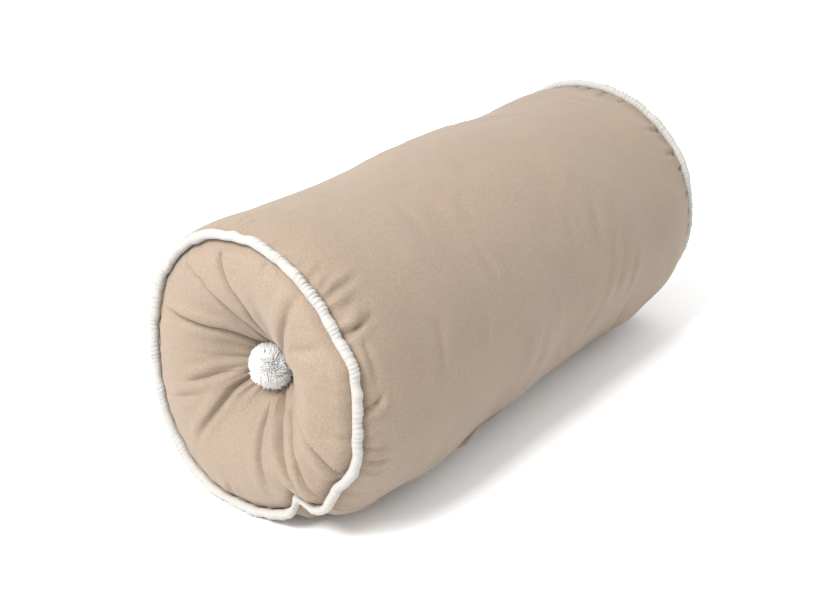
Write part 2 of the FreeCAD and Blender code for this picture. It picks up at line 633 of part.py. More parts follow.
def make_filling():
    """The fibre filling: the roll, trimmed to the tufted ends and dented under the zip."""
    roll = new_body("filling_roll")
    roll_loft(roll, "Additive", "filling_loft", FILLING_OUTSIDE, ("filling_reach", "lining_end"))
    roll.Placement = AXIS

    trim = new_body("filling_trim")
    sketch = new_sketch(trim, "XZ_Plane", "filling_trim_profile")
    turn = size("funnel_angle")
    radius = size("crown_radius") - size("filling_inset")
    middle = (size("seam_half_length") - size("crown_setback"), size("crown_ring"))
    hole = size("needle_hole")
    foot = (middle[0] + radius * math.cos(math.radians(turn)), middle[1] - radius * math.sin(math.radians(turn)))
    run = (foot[1] - hole) / math.cos(math.radians(turn))
    throat = (foot[0] - run * math.sin(math.radians(turn)), hole)
    brow = middle[1] + radius
    front_crown = arc(sketch, (-middle[0], middle[1]), radius, 90, 180 + turn)
    front_funnel = line(sketch, (-foot[0], foot[1]), (-throat[0], hole))
    bore = line(sketch, (-throat[0], hole), (throat[0], hole))
    rear_funnel = line(sketch, (throat[0], hole), foot)
    rear_crown = arc(sketch, middle, radius, -turn, 90)
    over = line(sketch, (middle[0], brow), (-middle[0], brow))
    rule(sketch, "Tangent", front_crown, END, front_funnel, START)
    rule(sketch, "Coincident", front_funnel, END, bore, START)
    rule(sketch, "Coincident", bore, END, rear_funnel, START)
    rule(sketch, "Tangent", rear_funnel, END, rear_crown, START)
    rule(sketch, "Tangent", rear_crown, END, over, START)
    rule(sketch, "Tangent", over, END, front_crown, START)
    rule(sketch, "Symmetric", bore, START, bore, END, UPRIGHT_AXIS)
    rule(sketch, "Equal", front_crown, rear_crown)
    measure(sketch, "front", "Sizes.seam_half_length - Sizes.crown_setback",
            "DistanceX", front_crown, CENTRE, *ORIGIN, middle[0])
    measure(sketch, "rear", "Sizes.seam_half_length - Sizes.crown_setback",
            "DistanceX", *ORIGIN, rear_crown, CENTRE, middle[0])
    measure(sketch, "ring", "Sizes.crown_ring", "DistanceY", *ORIGIN, front_crown, CENTRE, middle[1])
    measure(sketch, "crown", "Sizes.crown_radius - Sizes.filling_inset", "Radius", front_crown, radius)
    measure(sketch, "slope", "(Sizes.funnel_angle - 90) * 1 deg",
            "Angle", front_funnel, math.radians(turn - 90))
    measure(sketch, "bore", "Sizes.needle_hole", "DistanceY", *ORIGIN, bore, START, hole)
    revolve(trim, sketch, "filling_trim_turn")
    trim.Placement = AXIS

    trimmed = doc.addObject("Part::Common", "filling_trimmed")
    trimmed.Base = roll
    trimmed.Tool = trim
    filling = cut("filling", trimmed, dent("filling_dent", size("filling_inset") - size("lining_inset")))
    FINISHED.append(filling)
    filling.Label = "insert_filling"


# ---------------------------------------------------------------- build, check and write

make_body_panel()
make_end_shells("end_panel", NO_INSET, COVER_INSIDE, "throat_radius", "panel_rim")
make_piping()
make_tufting()
make_zip_rows()
make_slider()
make_pull()
make_insert_body()
make_end_shells("insert_end", LINING_OUTSIDE, LINING_INSIDE, "lining_throat", "lining_rim")
make_filling()
doc.recompute()

for thing in doc.Objects:
    if "Invalid" in thing.State or "Error" in thing.State:
        raise RuntimeError(f"{thing.Label} failed: {thing.State}")
for part in FINISHED:
    if part.Shape.isNull() or not part.Shape.isValid() or not part.Shape.Solids:
        raise RuntimeError(f"{part.Label} has no sound solid")

os.makedirs("parts", exist_ok=True)
for part in FINISHED:
    part.Shape.exportStep(f"parts/{part.Label}.step")
    box = part.Shape.optimalBoundingBox(False)
    print(f"{part.Label:26s} {part.Shape.Volume:12.1f} mm3  x {box.XMin:8.2f} {box.XMax:8.2f}"
          f"  y {box.YMin:8.2f} {box.YMax:8.2f}  z {box.ZMin:8.2f} {box.ZMax:8.2f}")
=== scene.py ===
# %% [markdown]
# A bolster pillow on a pale studio floor: a stuffed roll in tan cotton, ivory piping round both
# ends, and a white pom-pom tufted deep into each end. The frame that is loaded first holds the
# real sizes: every piece below takes its place from the named nodes of that frame.

# %% Load the frame
import json
import math

import bmesh
import bpy
import numpy as np
from mathutils import Matrix, Vector, noise


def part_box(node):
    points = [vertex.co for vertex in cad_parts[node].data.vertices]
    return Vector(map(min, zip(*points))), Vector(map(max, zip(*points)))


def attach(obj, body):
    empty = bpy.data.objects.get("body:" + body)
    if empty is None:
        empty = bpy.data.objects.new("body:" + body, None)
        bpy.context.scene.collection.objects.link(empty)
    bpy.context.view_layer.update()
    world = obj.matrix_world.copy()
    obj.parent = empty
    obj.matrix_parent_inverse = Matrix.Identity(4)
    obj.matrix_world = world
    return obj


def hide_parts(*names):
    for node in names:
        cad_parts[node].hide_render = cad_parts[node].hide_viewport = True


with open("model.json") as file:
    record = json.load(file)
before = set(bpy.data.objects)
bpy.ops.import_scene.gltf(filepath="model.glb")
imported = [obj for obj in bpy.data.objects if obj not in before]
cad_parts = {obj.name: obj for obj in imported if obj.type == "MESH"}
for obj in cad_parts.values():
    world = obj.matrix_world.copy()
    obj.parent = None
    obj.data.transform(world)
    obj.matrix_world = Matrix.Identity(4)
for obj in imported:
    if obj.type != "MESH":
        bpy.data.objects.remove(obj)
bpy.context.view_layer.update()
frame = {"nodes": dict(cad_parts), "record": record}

# %% [markdown]
# The roll's own measures come first. The piping rings give the radius of the two seams, and also
# the seams' distance from the middle. The stuffing stands a little prouder than the plain solids,
# so the axis of the cloth sits a touch higher than the axis of the rings.

# %% Measure the roll
MM = 0.001
DEG = math.pi / 180
AXIS_LIFT = 2.0 * MM


def middle(node):
    low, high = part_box(node)
    return (Vector(low) + Vector(high)) / 2


def span(node):
    low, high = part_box(node)
    return Vector(high) - Vector(low)


piping_half = span("piping_cover_front").x / 2
seam_x = middle("piping_cover_rear").x
ring_radius = span("piping_cover_front").z / 2 - piping_half
axis_z = middle("piping_cover_front").z + AXIS_LIFT
print(f"ring {ring_radius:.4f} m, seams at +-{seam_x:.3f} m, axis {axis_z:.4f} m up")

# %% [markdown]
# A sewn ring is never a true circle. Its cord is pushed out where the stuffing sags onto the floor
# and pulled in where the two ends of the piping are tucked under. Each wave below is a number of
# lobes, a size in millimetres and the angle of its peak. Each bump is an angle, a width in degrees
# and a height in millimetres. A lean is a shift in millimetres, and how far the seam runs along X
# for each metre of Y and of Z. Angles are in degrees, start at the top and turn towards -Y.

# %% Shape of the two piping rings
FRONT_WAVES = [(1, 1.9, -146), (2, 1.8, 18), (3, 3.4, -26), (4, 1.1, 27)]
REAR_WAVES = [(1, 2.0, 25), (2, 1.6, 5), (3, 1.4, -30), (5, 0.6, 40)]
RING_WOBBLE = [(11, 0.30, 8), (17, 0.26, 3), (29, 0.22, 5), (43, 0.20, 2)]
FRONT_BUMPS = [(67, 9, 3.2), (92, 10, -2.6), (125, 9, -2.0), (138, 7, 4.2), (149, 5.0, -9.5),
               (160, 6, 1.0)]
REAR_BUMPS = [(205, 6.0, -4.0), (60, 10, 1.5)]
FRONT_LEAN = (2.0, 0.052, 0.039)
REAR_LEAN = (0.0, 0.012, -0.018)
UNDERSIDE = -0.2


def turn_between(angle, centre):
    """Signed turn from centre to angle in degrees, kept within half a turn."""
    return (angle - centre + 180.0) % 360.0 - 180.0


def seam_radius(angle, rear):
    """Distance of the piping's cord from the axis, for angles in degrees."""
    radius = np.full_like(angle, ring_radius)
    for lobes, high, peak in (REAR_WAVES if rear else FRONT_WAVES + RING_WOBBLE):
        radius = radius + high * MM * np.cos(lobes * (angle - peak) * DEG)
    for centre, wide, high in (REAR_BUMPS if rear else FRONT_BUMPS):
        radius = radius + high * MM * np.exp(-(turn_between(angle, centre) / wide) ** 2)
    upward = np.cos(angle * DEG)
    to_floor = (axis_z - piping_half) / -np.minimum(upward, UNDERSIDE)
    return np.minimum(radius, np.where(upward < UNDERSIDE, to_floor, 1.0))


def seam_line(angle, rear, radius=None):
    """Points of the ring: the seam leans a little, as a soft end does."""
    radius = seam_radius(angle, rear) if radius is None else radius
    y = -radius * np.sin(angle * DEG)
    z = axis_z + radius * np.cos(angle * DEG)
    shift, by_y, by_z = REAR_LEAN if rear else FRONT_LEAN
    x = (seam_x if rear else -seam_x) + shift * MM + by_y * y + by_z * (z - axis_z)
    return np.stack([x, y, z], axis=-1)


ring_angles = np.linspace(0, 360, 721)
for name, rear in (("front", False), ("rear", True)):
    ring = seam_line(ring_angles, rear)
    length = np.linalg.norm(np.diff(ring, axis=0), axis=1).sum()
    print(f"{name} ring: {length:.3f} m round")

# %% [markdown]
# The floor, the light and the camera. The floor is a plain pale sheet. One soft light hangs high
# beyond the front end, and the white sky fills the rest, so the shadow hugs the roll.

# %% Set the stage
floor_mesh = bpy.data.meshes.new("studio_floor")
bm = bmesh.new()
bmesh.ops.create_grid(bm, x_segments=2, y_segments=2, size=6.0)
bm.to_mesh(floor_mesh)
bm.free()
studio_floor = bpy.data.objects.new("studio_floor", floor_mesh)
bpy.context.scene.collection.objects.link(studio_floor)


def new_material(name):
    """A material with an empty Principled shader, and the shader itself."""
    material = bpy.data.materials.new(name)
    material.use_nodes = True
    return material, material.node_tree.nodes["Principled BSDF"]


floor_paint, floor_shader = new_material("studio_floor_paint")
floor_shader.inputs["Base Color"].default_value = (0.88, 0.88, 0.88, 1)
floor_shader.inputs["Roughness"].default_value = 0.95
floor_shader.inputs["Specular IOR Level"].default_value = 0.1
floor_mesh.materials.append(floor_paint)

SKY_STRENGTH = 1.30
LIGHT_PLACE, LIGHT_AIM = (-1.48, 0.18, 1.75), (0, 0, 0.05)
LIGHT_SIZE, LIGHT_WATTS = 1.0, 80
scene = bpy.context.scene
scene.view_settings.view_transform = "Standard"
world = bpy.data.worlds.new("studio_sky")
scene.world = world
world.use_nodes = True
sky = world.node_tree.nodes["Background"]
sky.inputs["Color"].default_value = (1.0, 1.0, 1.0, 1)
sky.inputs["Strength"].default_value = SKY_STRENGTH

lamp = bpy.data.lights.new("high_softbox", "AREA")
lamp.shape = "RECTANGLE"
lamp.size = lamp.size_y = LIGHT_SIZE
lamp.energy = LIGHT_WATTS
softbox = bpy.data.objects.new("high_softbox", lamp)
softbox.location = LIGHT_PLACE
softbox.rotation_euler = (Vector(LIGHT_AIM) - Vector(LIGHT_PLACE)).to_track_quat("-Z", "Y").to_euler()
scene.collection.objects.link(softbox)

VIEW_AZIMUTH, VIEW_HEIGHT, VIEW_DISTANCE = -53.68 * DEG, 24.03 * DEG, 1.108
AIM_BESIDE, AIM_BELOW = -33.6 * MM, 11.5 * MM
aim = Vector((AIM_BESIDE, 0.0, axis_z - AIM_BELOW))
view = Vector((math.sin(VIEW_AZIMUTH) * math.cos(VIEW_HEIGHT),
               -math.cos(VIEW_AZIMUTH) * math.cos(VIEW_HEIGHT), math.sin(VIEW_HEIGHT)))
camera = bpy.data.objects.new("camera", bpy.data.cameras.new("camera"))
camera.data.lens = 60.0
camera.data.sensor_width = 36.0
camera.location = aim + view * VIEW_DISTANCE
camera.rotation_euler = (-view).to_track_quat("-Z", "Y").to_euler()
scene.collection.objects.link(camera)
scene.camera = camera
print("camera at", [round(c, 3) for c in camera.location])

# %% [markdown]
# Helpers for every soft piece. Each starts as a regular shape made with bmesh operators, and its
# vertices are then moved to the sewn shape by one function that works on all of them at once.

# %% Helpers for soft pieces
def finish_piece(name, bm, body="pillow"):
    """Turn a bmesh into a smooth-shaded object at the origin that rides on a body."""
    bmesh.ops.recalc_face_normals(bm, faces=bm.faces)
    mesh = bpy.data.meshes.new(name)
    bm.to_mesh(mesh)
    bm.free()
    mesh.shade_smooth()
    piece = bpy.data.objects.new(name, mesh)
    scene.collection.objects.link(piece)
    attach(piece, body)
    return piece


def read_points(mesh):
    points = np.empty(len(mesh.vertices) * 3)
    mesh.vertices.foreach_get("co", points)
    return points.reshape(-1, 3)


def write_points(mesh, points):
    mesh.vertices.foreach_set("co", points.ravel())
    mesh.update()


def lay_map(mesh, across, along):
    """Store the flat cloth's measures, in metres, as the piece's UV map."""
    corner = np.empty(len(mesh.loops), dtype=np.int32)
    mesh.loops.foreach_get("vertex_index", corner)
    flat = np.stack([along[corner], across[corner]], axis=-1)
    layer = mesh.uv_layers.new(name="cloth")
    layer.data.foreach_set("uv", flat.ravel())


def smooth_noise(points, size, seed):
    """Blender's own noise at each point, for bumps of about the given size."""
    offset = Vector((seed * 3.7, seed * 1.3, seed * 2.1))
    return np.array([noise.noise(Vector(p) / size + offset) for p in points])


def soft_least(a, b, blend):
    """The smaller of two radii, rounded over where they cross."""
    mix = np.clip(0.5 + 0.5 * (b - a) / blend, 0, 1)
    return b * (1 - mix) + a * mix - blend * mix * (1 - mix)


def bell(value, wide):
    """One at nothing, falling smoothly to nothing a few widths away."""
    return np.exp(-(value / wide) ** 2)


def ease(value, start, end):
    """From nothing at start to one at end, slow at both."""
    share = np.clip((value - start) / (end - start), 0, 1)
    return share * share * (3 - 2 * share)


def ring_tube(spot, tube, around, angle):
    """Points of a tube of the given radius, laid round the line of a ring."""
    out = spot.copy()
    out[:, 0] += tube * np.sin(around)
    out[:, 1] += -tube * np.cos(around) * np.sin(angle * DEG)
    out[:, 2] += tube * np.cos(around) * np.cos(angle * DEG)
    return out


def around_axis(x, radius, angle):
    """Points at a distance and an angle from the roll's axis."""
    return np.stack([x, -radius * np.sin(angle * DEG), axis_z + radius * np.cos(angle * DEG)], axis=-1)

# %% [markdown]
# Three finishes cover nearly all of the pillow: a plain-woven tan cotton, the same weave in ivory
# for the piping, and white cotton yarn. Weave and dyeing are effects that several materials share,
# so each is a node group, built once. The weave also paints shade into the colour, darker in the
# hollows between its threads. The groups give out colour, roughness and height only, and the
# shader of each material stays in the material, where its sheen is set.

# %% Build node groups
def feed(tree, socket, value):
    """Link another node's output to a socket, or set the socket to a number or a colour."""
    if isinstance(value, bpy.types.NodeSocket):
        tree.links.new(value, socket)
    else:
        socket.default_value = value


def add_node(tree, kind, values=None, **settings):
    """A node with its settings and the values of its sockets."""
    made = tree.nodes.new(kind)
    for key, value in settings.items():
        setattr(made, key, value)
    for socket, value in (values or {}).items():
        feed(tree, made.inputs[socket], value)
    return made


def calculate(tree, operation, first, second=0.0):
    return add_node(tree, "ShaderNodeMath", {0: first, 1: second}, operation=operation).outputs[0]


def new_group(name, inputs, outputs):
    """An empty node group with named sockets, and its input and output nodes."""
    group = bpy.data.node_groups.new(name, "ShaderNodeTree")
    for label, kind in inputs:
        group.interface.new_socket(label, in_out="INPUT", socket_type="NodeSocket" + kind)
    for label, kind in outputs:
        group.interface.new_socket(label, in_out="OUTPUT", socket_type="NodeSocket" + kind)
    return group, group.nodes.new("NodeGroupInput").outputs, group.nodes.new("NodeGroupOutput")


# A Mix node's colour sockets share their names with its other sockets, so they are found by place.
def mix_colour(tree, share, first, second, blend="MIX"):
    made = tree.nodes.new("ShaderNodeMix")
    made.data_type = "RGBA"
    made.blend_type = blend
    for place, value in ((0, share), (6, first), (7, second)):
        feed(tree, made.inputs[place], value)
    return made.outputs[2]


def noise_at(tree, place, scale, detail=3.0, rough=0.55):
    values = {"Vector": place, "Scale": scale, "Detail": detail, "Roughness": rough}
    return add_node(tree, "ShaderNodeTexNoise", values).outputs["Fac"]


def stretch(tree, value, low, high):
    values = {"Value": value, "From Min": low, "From Max": high}
    return add_node(tree, "ShaderNodeMapRange", values, clamp=True).outputs["Result"]


# %% The weave with painted shade in its hollows, and the dyeing
weave, given, result = new_group("plain_weave", [("Map", "Vector"), ("Threads per Metre", "Float")],
                                 [("Height", "Float"), ("Shade", "Float")])
parts = add_node(weave, "ShaderNodeSeparateXYZ", {0: given["Map"]}).outputs
pitch = calculate(weave, "MULTIPLY", given["Threads per Metre"], math.pi)
turns = [calculate(weave, "MULTIPLY", parts[axis], pitch) for axis in ("X", "Y")]
waves = [calculate(weave, "SINE", turn) for turn in turns]
warp, weft = [calculate(weave, "ABSOLUTE", wave) for wave in waves]
over = calculate(weave, "GREATER_THAN", calculate(weave, "MULTIPLY", *waves))
under = calculate(weave, "SUBTRACT", 1.0, over)
threads = calculate(weave, "ADD", calculate(weave, "MULTIPLY", warp, over),
                    calculate(weave, "MULTIPLY", weft, under))
slubs = []
for size in ((60, 1600, 1), (1600, 60, 1)):
    drawn = add_node(weave, "ShaderNodeVectorMath", {0: given["Map"], 1: size}, operation="MULTIPLY")
    slubs.append(noise_at(weave, drawn.outputs[0], 1.0, 2.0))
slub = calculate(weave, "MULTIPLY", calculate(weave, "ADD", *slubs), 0.5)
height = calculate(weave, "ADD", calculate(weave, "MULTIPLY", threads, 0.6),
                   calculate(weave, "MULTIPLY", slub, 0.8))
# Shade is painted shade. It is low where the threads and slubs lie low, and it darkens the colour there.
weave.links.new(height, result.inputs["Height"])
weave.links.new(stretch(weave, height, 0.1, 1.15), result.inputs["Shade"])

dye_and_shade, given, result = new_group(
    "cloth_dye_and_hollow_shade", [("Place", "Vector"), ("Shade", "Float"), ("Cloth", "Color"), ("Warm", "Color"),
                  ("Cool", "Color"), ("Hollow Shade", "Color")], [("Color", "Color"), ("Roughness", "Float")])
broad = stretch(dye_and_shade, noise_at(dye_and_shade, given["Place"], 9.0, 3.0, 0.6), 0.42, 0.68)
cloudy = stretch(dye_and_shade, noise_at(dye_and_shade, given["Place"], 23.0, 3.0, 0.6), 0.45, 0.75)
colour = mix_colour(dye_and_shade, broad, given["Cloth"], given["Warm"])
colour = mix_colour(dye_and_shade, cloudy, colour, given["Cool"])
# Painted shade: where the weave's Shade is low, in the hollows between threads, the colour is mixed towards
# a darker copy of the cloth.
colour = mix_colour(dye_and_shade, given["Shade"], given["Hollow Shade"], colour)
fuzz = stretch(dye_and_shade, noise_at(dye_and_shade, given["Place"], 700.0, 2.0), 0.2, 0.8)
colour = mix_colour(dye_and_shade, calculate(dye_and_shade, "MULTIPLY", fuzz, 0.07), colour, (1, 1, 1, 1))
dye_and_shade.links.new(colour, result.inputs["Color"])
dye_and_shade.links.new(stretch(dye_and_shade, calculate(dye_and_shade, "ADD", cloudy, fuzz), -3.5, 3.2), result.inputs["Roughness"])


def use_group(tree, group, values):
    made = add_node(tree, "ShaderNodeGroup", node_tree=group)
    for socket, value in values.items():
        feed(tree, made.inputs[socket], value)
    return made.outputs


def tint(colour, factor):
    return (*[min(1.0, c * f) for c, f in zip(colour, factor)], 1)


# The third tint is a darker copy of each cloth, used only for the painted shade in the weave's hollows; the
# first two tint its random mottling.
WARM, COOL, HOLLOW_SHADE = (1.04, 1.0, 0.90), (0.96, 0.975, 1.0), (0.86, 0.84, 0.82)


def woven_material(name, cloth, threads, bias=0.0, sheen=0.18, bump=0.10 * MM):
    """Cotton cloth: a weave on the piece's own map, with painted shade in its hollows and a soft sheen."""
    material, shader = new_material(name)
    tree = material.node_tree
    laid = add_node(tree, "ShaderNodeUVMap", uv_map="cloth").outputs["UV"]
    laid = add_node(tree, "ShaderNodeMapping", {"Vector": laid, "Rotation": (0, 0, bias)}).outputs["Vector"]
    place = add_node(tree, "ShaderNodeTexCoord").outputs["Object"]
    woven = use_group(tree, weave, {"Map": laid, "Threads per Metre": threads})
    # This group gives random mottling, and also the painted shade of the weave's hollows.
    coloured = use_group(tree, dye_and_shade, {"Place": place, "Shade": woven["Shade"], "Cloth": (*cloth, 1),
                                 "Warm": tint(cloth, WARM), "Cool": tint(cloth, COOL),
                                 "Hollow Shade": tint(cloth, HOLLOW_SHADE)})
    tree.links.new(coloured["Color"], shader.inputs["Base Color"])
    tree.links.new(coloured["Roughness"], shader.inputs["Roughness"])
    lift = add_node(tree, "ShaderNodeBump", {"Height": woven["Height"], "Distance": bump, "Strength": 0.5})
    tree.links.new(lift.outputs["Normal"], shader.inputs["Normal"])
    shader.inputs["Sheen Weight"].default_value = sheen
    shader.inputs["Sheen Roughness"].default_value = 0.45
    shader.inputs["Sheen Tint"].default_value = (*[0.5 + 0.5 * c for c in cloth], 1)
    shader.inputs["Specular IOR Level"].default_value = 0.25
    return material


tan_cotton = woven_material("tan_cotton_cloth", (0.204, 0.148, 0.1015), 2600)
ivory_cotton = woven_material("ivory_cotton_cloth", (0.325, 0.316, 0.303), 2300, bias=math.pi / 4)
lining_cloth = woven_material("lining_cloth", (0.62, 0.60, 0.56), 2000)
tape_cloth = woven_material("zip_tape_cloth", (0.13, 0.075, 0.045), 1500, sheen=0.05)


def dress(piece, material):
    """Give a piece one material, in its own slot."""
    piece.data.materials.clear()
    piece.data.materials.append(material)

# %% Yarn, thread, nylon and metal
def yarn_material(name, colour, shade, scale, sheen):
    """Soft yarn: streaks of shade from a noise, and a strong sheen for its loose fibres."""
    material, shader = new_material(name)
    tree = material.node_tree
    place = add_node(tree, "ShaderNodeTexCoord").outputs["Object"]
    streak = stretch(tree, noise_at(tree, place, scale, 3.0), 0.35, 0.7)
    coloured = mix_colour(tree, streak, (*shade, 1), (*colour, 1))
    tree.links.new(coloured, shader.inputs["Base Color"])
    tree.links.new(stretch(tree, streak, -2.0, 1.4), shader.inputs["Roughness"])
    lift = add_node(tree, "ShaderNodeBump", {"Height": streak, "Distance": 0.12 * MM, "Strength": 0.4})
    tree.links.new(lift.outputs["Normal"], shader.inputs["Normal"])
    shader.inputs["Sheen Weight"].default_value = sheen
    shader.inputs["Specular IOR Level"].default_value = 0.2
    return material


white_yarn = yarn_material("white_cotton_yarn", (0.68, 0.677, 0.667), (0.61, 0.60, 0.588), 900, 0.3)
white_thread = yarn_material("white_twisted_thread", (0.84, 0.83, 0.80), (0.62, 0.60, 0.56), 2400, 0.1)
tan_thread = yarn_material("tan_twisted_thread", (0.44, 0.34, 0.25), (0.30, 0.23, 0.17), 2400, 0.1)
cord_cotton = yarn_material("soft_cord_cotton", (0.84, 0.80, 0.73), (0.66, 0.62, 0.55), 1500, 0.2)
loose_fibre = yarn_material("loose_polyester_fibre", (0.92, 0.92, 0.92), (0.78, 0.78, 0.79), 260, 0.4)


def hard_material(name, colour, metal, low_rough, high_rough, stretch_x):
    """Nylon or metal: fine drawn lines that follow the zip, in roughness and in height."""
    material, shader = new_material(name)
    tree = material.node_tree
    place = add_node(tree, "ShaderNodeTexCoord").outputs["Object"]
    drawn = add_node(tree, "ShaderNodeMapping", {"Vector": place, "Scale": (stretch_x, 1, 1)})
    line = noise_at(tree, drawn.outputs["Vector"], 2600, 2.0)
    dark = tuple(c * 0.82 for c in colour)
    tree.links.new(mix_colour(tree, line, (*dark, 1), (*colour, 1)), shader.inputs["Base Color"])
    rough = {"Value": line, "To Min": low_rough, "To Max": high_rough}
    rough = add_node(tree, "ShaderNodeMapRange", rough).outputs["Result"]
    tree.links.new(rough, shader.inputs["Roughness"])
    lift = add_node(tree, "ShaderNodeBump", {"Height": line, "Distance": 0.02 * MM, "Strength": 0.3})
    tree.links.new(lift.outputs["Normal"], shader.inputs["Normal"])
    shader.inputs["Metallic"].default_value = metal
    return material


coil_nylon = hard_material("zip_coil_nylon", (0.17, 0.105, 0.065), 0.0, 0.35, 0.55, 1.0)
zip_metal = hard_material("zip_brushed_metal", (0.66, 0.64, 0.60), 1.0, 0.25, 0.45, 0.08)

# %% [markdown]
# The body is one rectangle of cloth wrapped round the stuffing. The two edges that run along the
# roll meet at the zip, low on the -Y side. Between the seams the stuffing swells it to a round
# belly, and its own weight presses a flat foot onto the floor. A grid is the natural start, because
# real cloth is a grid of threads: the grid is wrapped, and its edges are joined beyond the zip.
# Each swelling is a place along the roll, an angle, a reach along and round, and a height.

# %% Round section of the stuffed roll
BELLY_RADIUS = 113.7 * MM
BELLY_DROP = 7.6 * MM
FLOOR_BLEND = 22 * MM
SHOULDER = 45 * MM
ZIP_COVER = 1.0 * MM
ZIP_HALF_LENGTH, ZIP_FADE = 190 * MM, 6 * MM
SLIT_X = -86 * MM
TUCK = 3.0 * MM
FRONT_TUCKED, REAR_TUCKED = 5.0 * MM, 1.0 * MM
REAR_TAPER = 3.4 * MM
PULL_HINGE_HIGH = 1.4 * MM
joints = frame["record"]["behaviour"]["joints"]
pull_joint = next(joint for joint in joints if joint["name"] == "pull_flip")
ZIP_UP = Vector(pull_joint["axis"]).normalized()
ZIP_OUT = Vector((1, 0, 0)).cross(ZIP_UP)
zip_point = Vector(pull_joint["pos_m"]) - ZIP_OUT * PULL_HINGE_HIGH
ZIP_ANGLE = math.degrees(math.atan2(-zip_point.y, zip_point.z - axis_z)) % 360
ZIP_RADIUS = math.hypot(zip_point.y, zip_point.z - axis_z)
SWELLS = [(-92, -28, 36, 60, -1.7), (30, -28, 55, 60, 2.0), (135, -28, 30, 50, -1.4),
          (186, -28, 26, 50, 0.6), (-165, 118, 45, 30, 1.0), (-200, 5, 26, 40, 1.6),
          (90, 60, 40, 30, 1.0), (10, 85, 50, 26, -0.6), (-212, -52, 20, 26, 6.0)]
# The underside of the -Y flank is fuller in some places along the roll than in others.
SLIMMING = [(-260, -1.0), (-205, -1.8), (-185, 1.0), (-160, 2.6), (-125, 2.2), (-100, -0.6),
            (-70, -3.4), (-40, -0.4), (-20, -1.2), (0, -5.2), (40, -5.0), (60, -5.4), (80, -6.2),
            (100, -7.2), (118, -6.4), (136, -5.2), (156, -4.6), (176, -6.2), (200, -6.4), (260, -8.4)]
SLIM_ANGLE, SLIM_ROUND = 138, 34


def over_zip(x):
    """One over the zip's length, fading to nothing just past its ends."""
    return 1 / (1 + np.exp((np.abs(x) - ZIP_HALF_LENGTH) / ZIP_FADE))


def near_zip(x, angle):
    """One along the zip, less at the slit, fading to nothing a centimetre or two away from it."""
    along = (1 - 0.95 * bell(x - SLIT_X, 24 * MM)) * over_zip(x)
    return bell(turn_between(angle, ZIP_ANGLE), 4.5) * along


def belly_radius(x, angle):
    """Radius of the swollen roll away from the seams."""
    drop = -BELLY_DROP * np.cos(angle * DEG)
    radius = drop + np.sqrt(BELLY_RADIUS ** 2 - (BELLY_DROP * np.sin(angle * DEG)) ** 2)
    for at, facing, along, round_it, high in SWELLS:
        swell = bell(x / MM - at, along) * bell(turn_between(angle, facing), round_it)
        radius = radius + high * MM * swell
    slim = sum(np.interp(x / MM + shift, *zip(*SLIMMING)) for shift in (-14, -7, 0, 7, 14)) / 5
    radius = radius + slim * MM * bell(turn_between(angle, SLIM_ANGLE), SLIM_ROUND)
    floor_radius = axis_z / -np.minimum(np.cos(angle * DEG), -0.25)
    radius = soft_least(radius, floor_radius, FLOOR_BLEND)
    hold = near_zip(x, angle)
    return radius - np.maximum(radius - ZIP_RADIUS - ZIP_COVER, 0) * hold * 0.9


def shoulder_rise(inward):
    """From nothing at the seam to one where the belly is full: a quarter of an ellipse."""
    return np.sqrt(1 - (1 - np.clip(inward / SHOULDER, 0, 1)) ** 2)


def seam_places(angle):
    return seam_line(angle, False)[..., 0], seam_line(angle, True)[..., 0]


def roll_radius(x, angle, tuck=TUCK):
    """Radius of the smooth roll, from its tucked edge at one piping ring to the other."""
    front_x, rear_x = seam_places(angle)
    full = belly_radius(x, angle)
    for rear, inward in ((False, x - front_x), (True, rear_x - x)):
        short = full - (seam_radius(angle, rear) - tuck)
        full = full - short * (1 - shoulder_rise(inward - (REAR_TUCKED if rear else FRONT_TUCKED)))
        if rear:
            taper = bell(inward, 26 * MM) * ease(inward, 0, 9 * MM)
            full = full - REAR_TAPER * taper * bell(turn_between(angle, 20), 75)
    return full


print(f"zip at {ZIP_ANGLE:.1f} degrees, {ZIP_RADIUS / MM:.2f} mm from the axis")

# %% [markdown]
# Folds are what make cloth look like cloth. A fold here is a path on the flat cloth, with a depth
# and a width in millimetres: a tight valley along the path, and a soft roll on either side where
# the spare cloth stands up. One helper turns any list of folds into relief, for the body and for
# both ends.

# %% Folds in cloth
VALLEY_WIDE = 0.40
LIP_HEIGHT = 0.55
LIP_PLACE = 1.35
LIP_WIDE = 0.9


def nearest_on(chart, path):
    """Each chart point's distance from a path, its side of it, and its share along it."""
    pieces = np.diff(path, axis=0)
    lengths = np.linalg.norm(pieces, axis=1)
    before = np.concatenate([[0], np.cumsum(lengths)])
    best = np.full(len(chart), 1e9)
    side = np.ones(len(chart))
    along = np.zeros(len(chart))
    for start, piece, length, gone in zip(path[:-1], pieces, lengths, before[:-1]):
        offset = chart - start
        share = np.clip(offset @ piece / length ** 2, 0, 1)
        miss = offset - share[:, None] * piece
        distance = np.linalg.norm(miss, axis=1)
        closer = distance < best
        best = np.where(closer, distance, best)
        turn = piece[0] * miss[:, 1] - piece[1] * miss[:, 0]
        side = np.where(closer, np.sign(turn), side)
        along = np.where(closer, (gone + share * length) / before[-1], along)
    return best, side, along


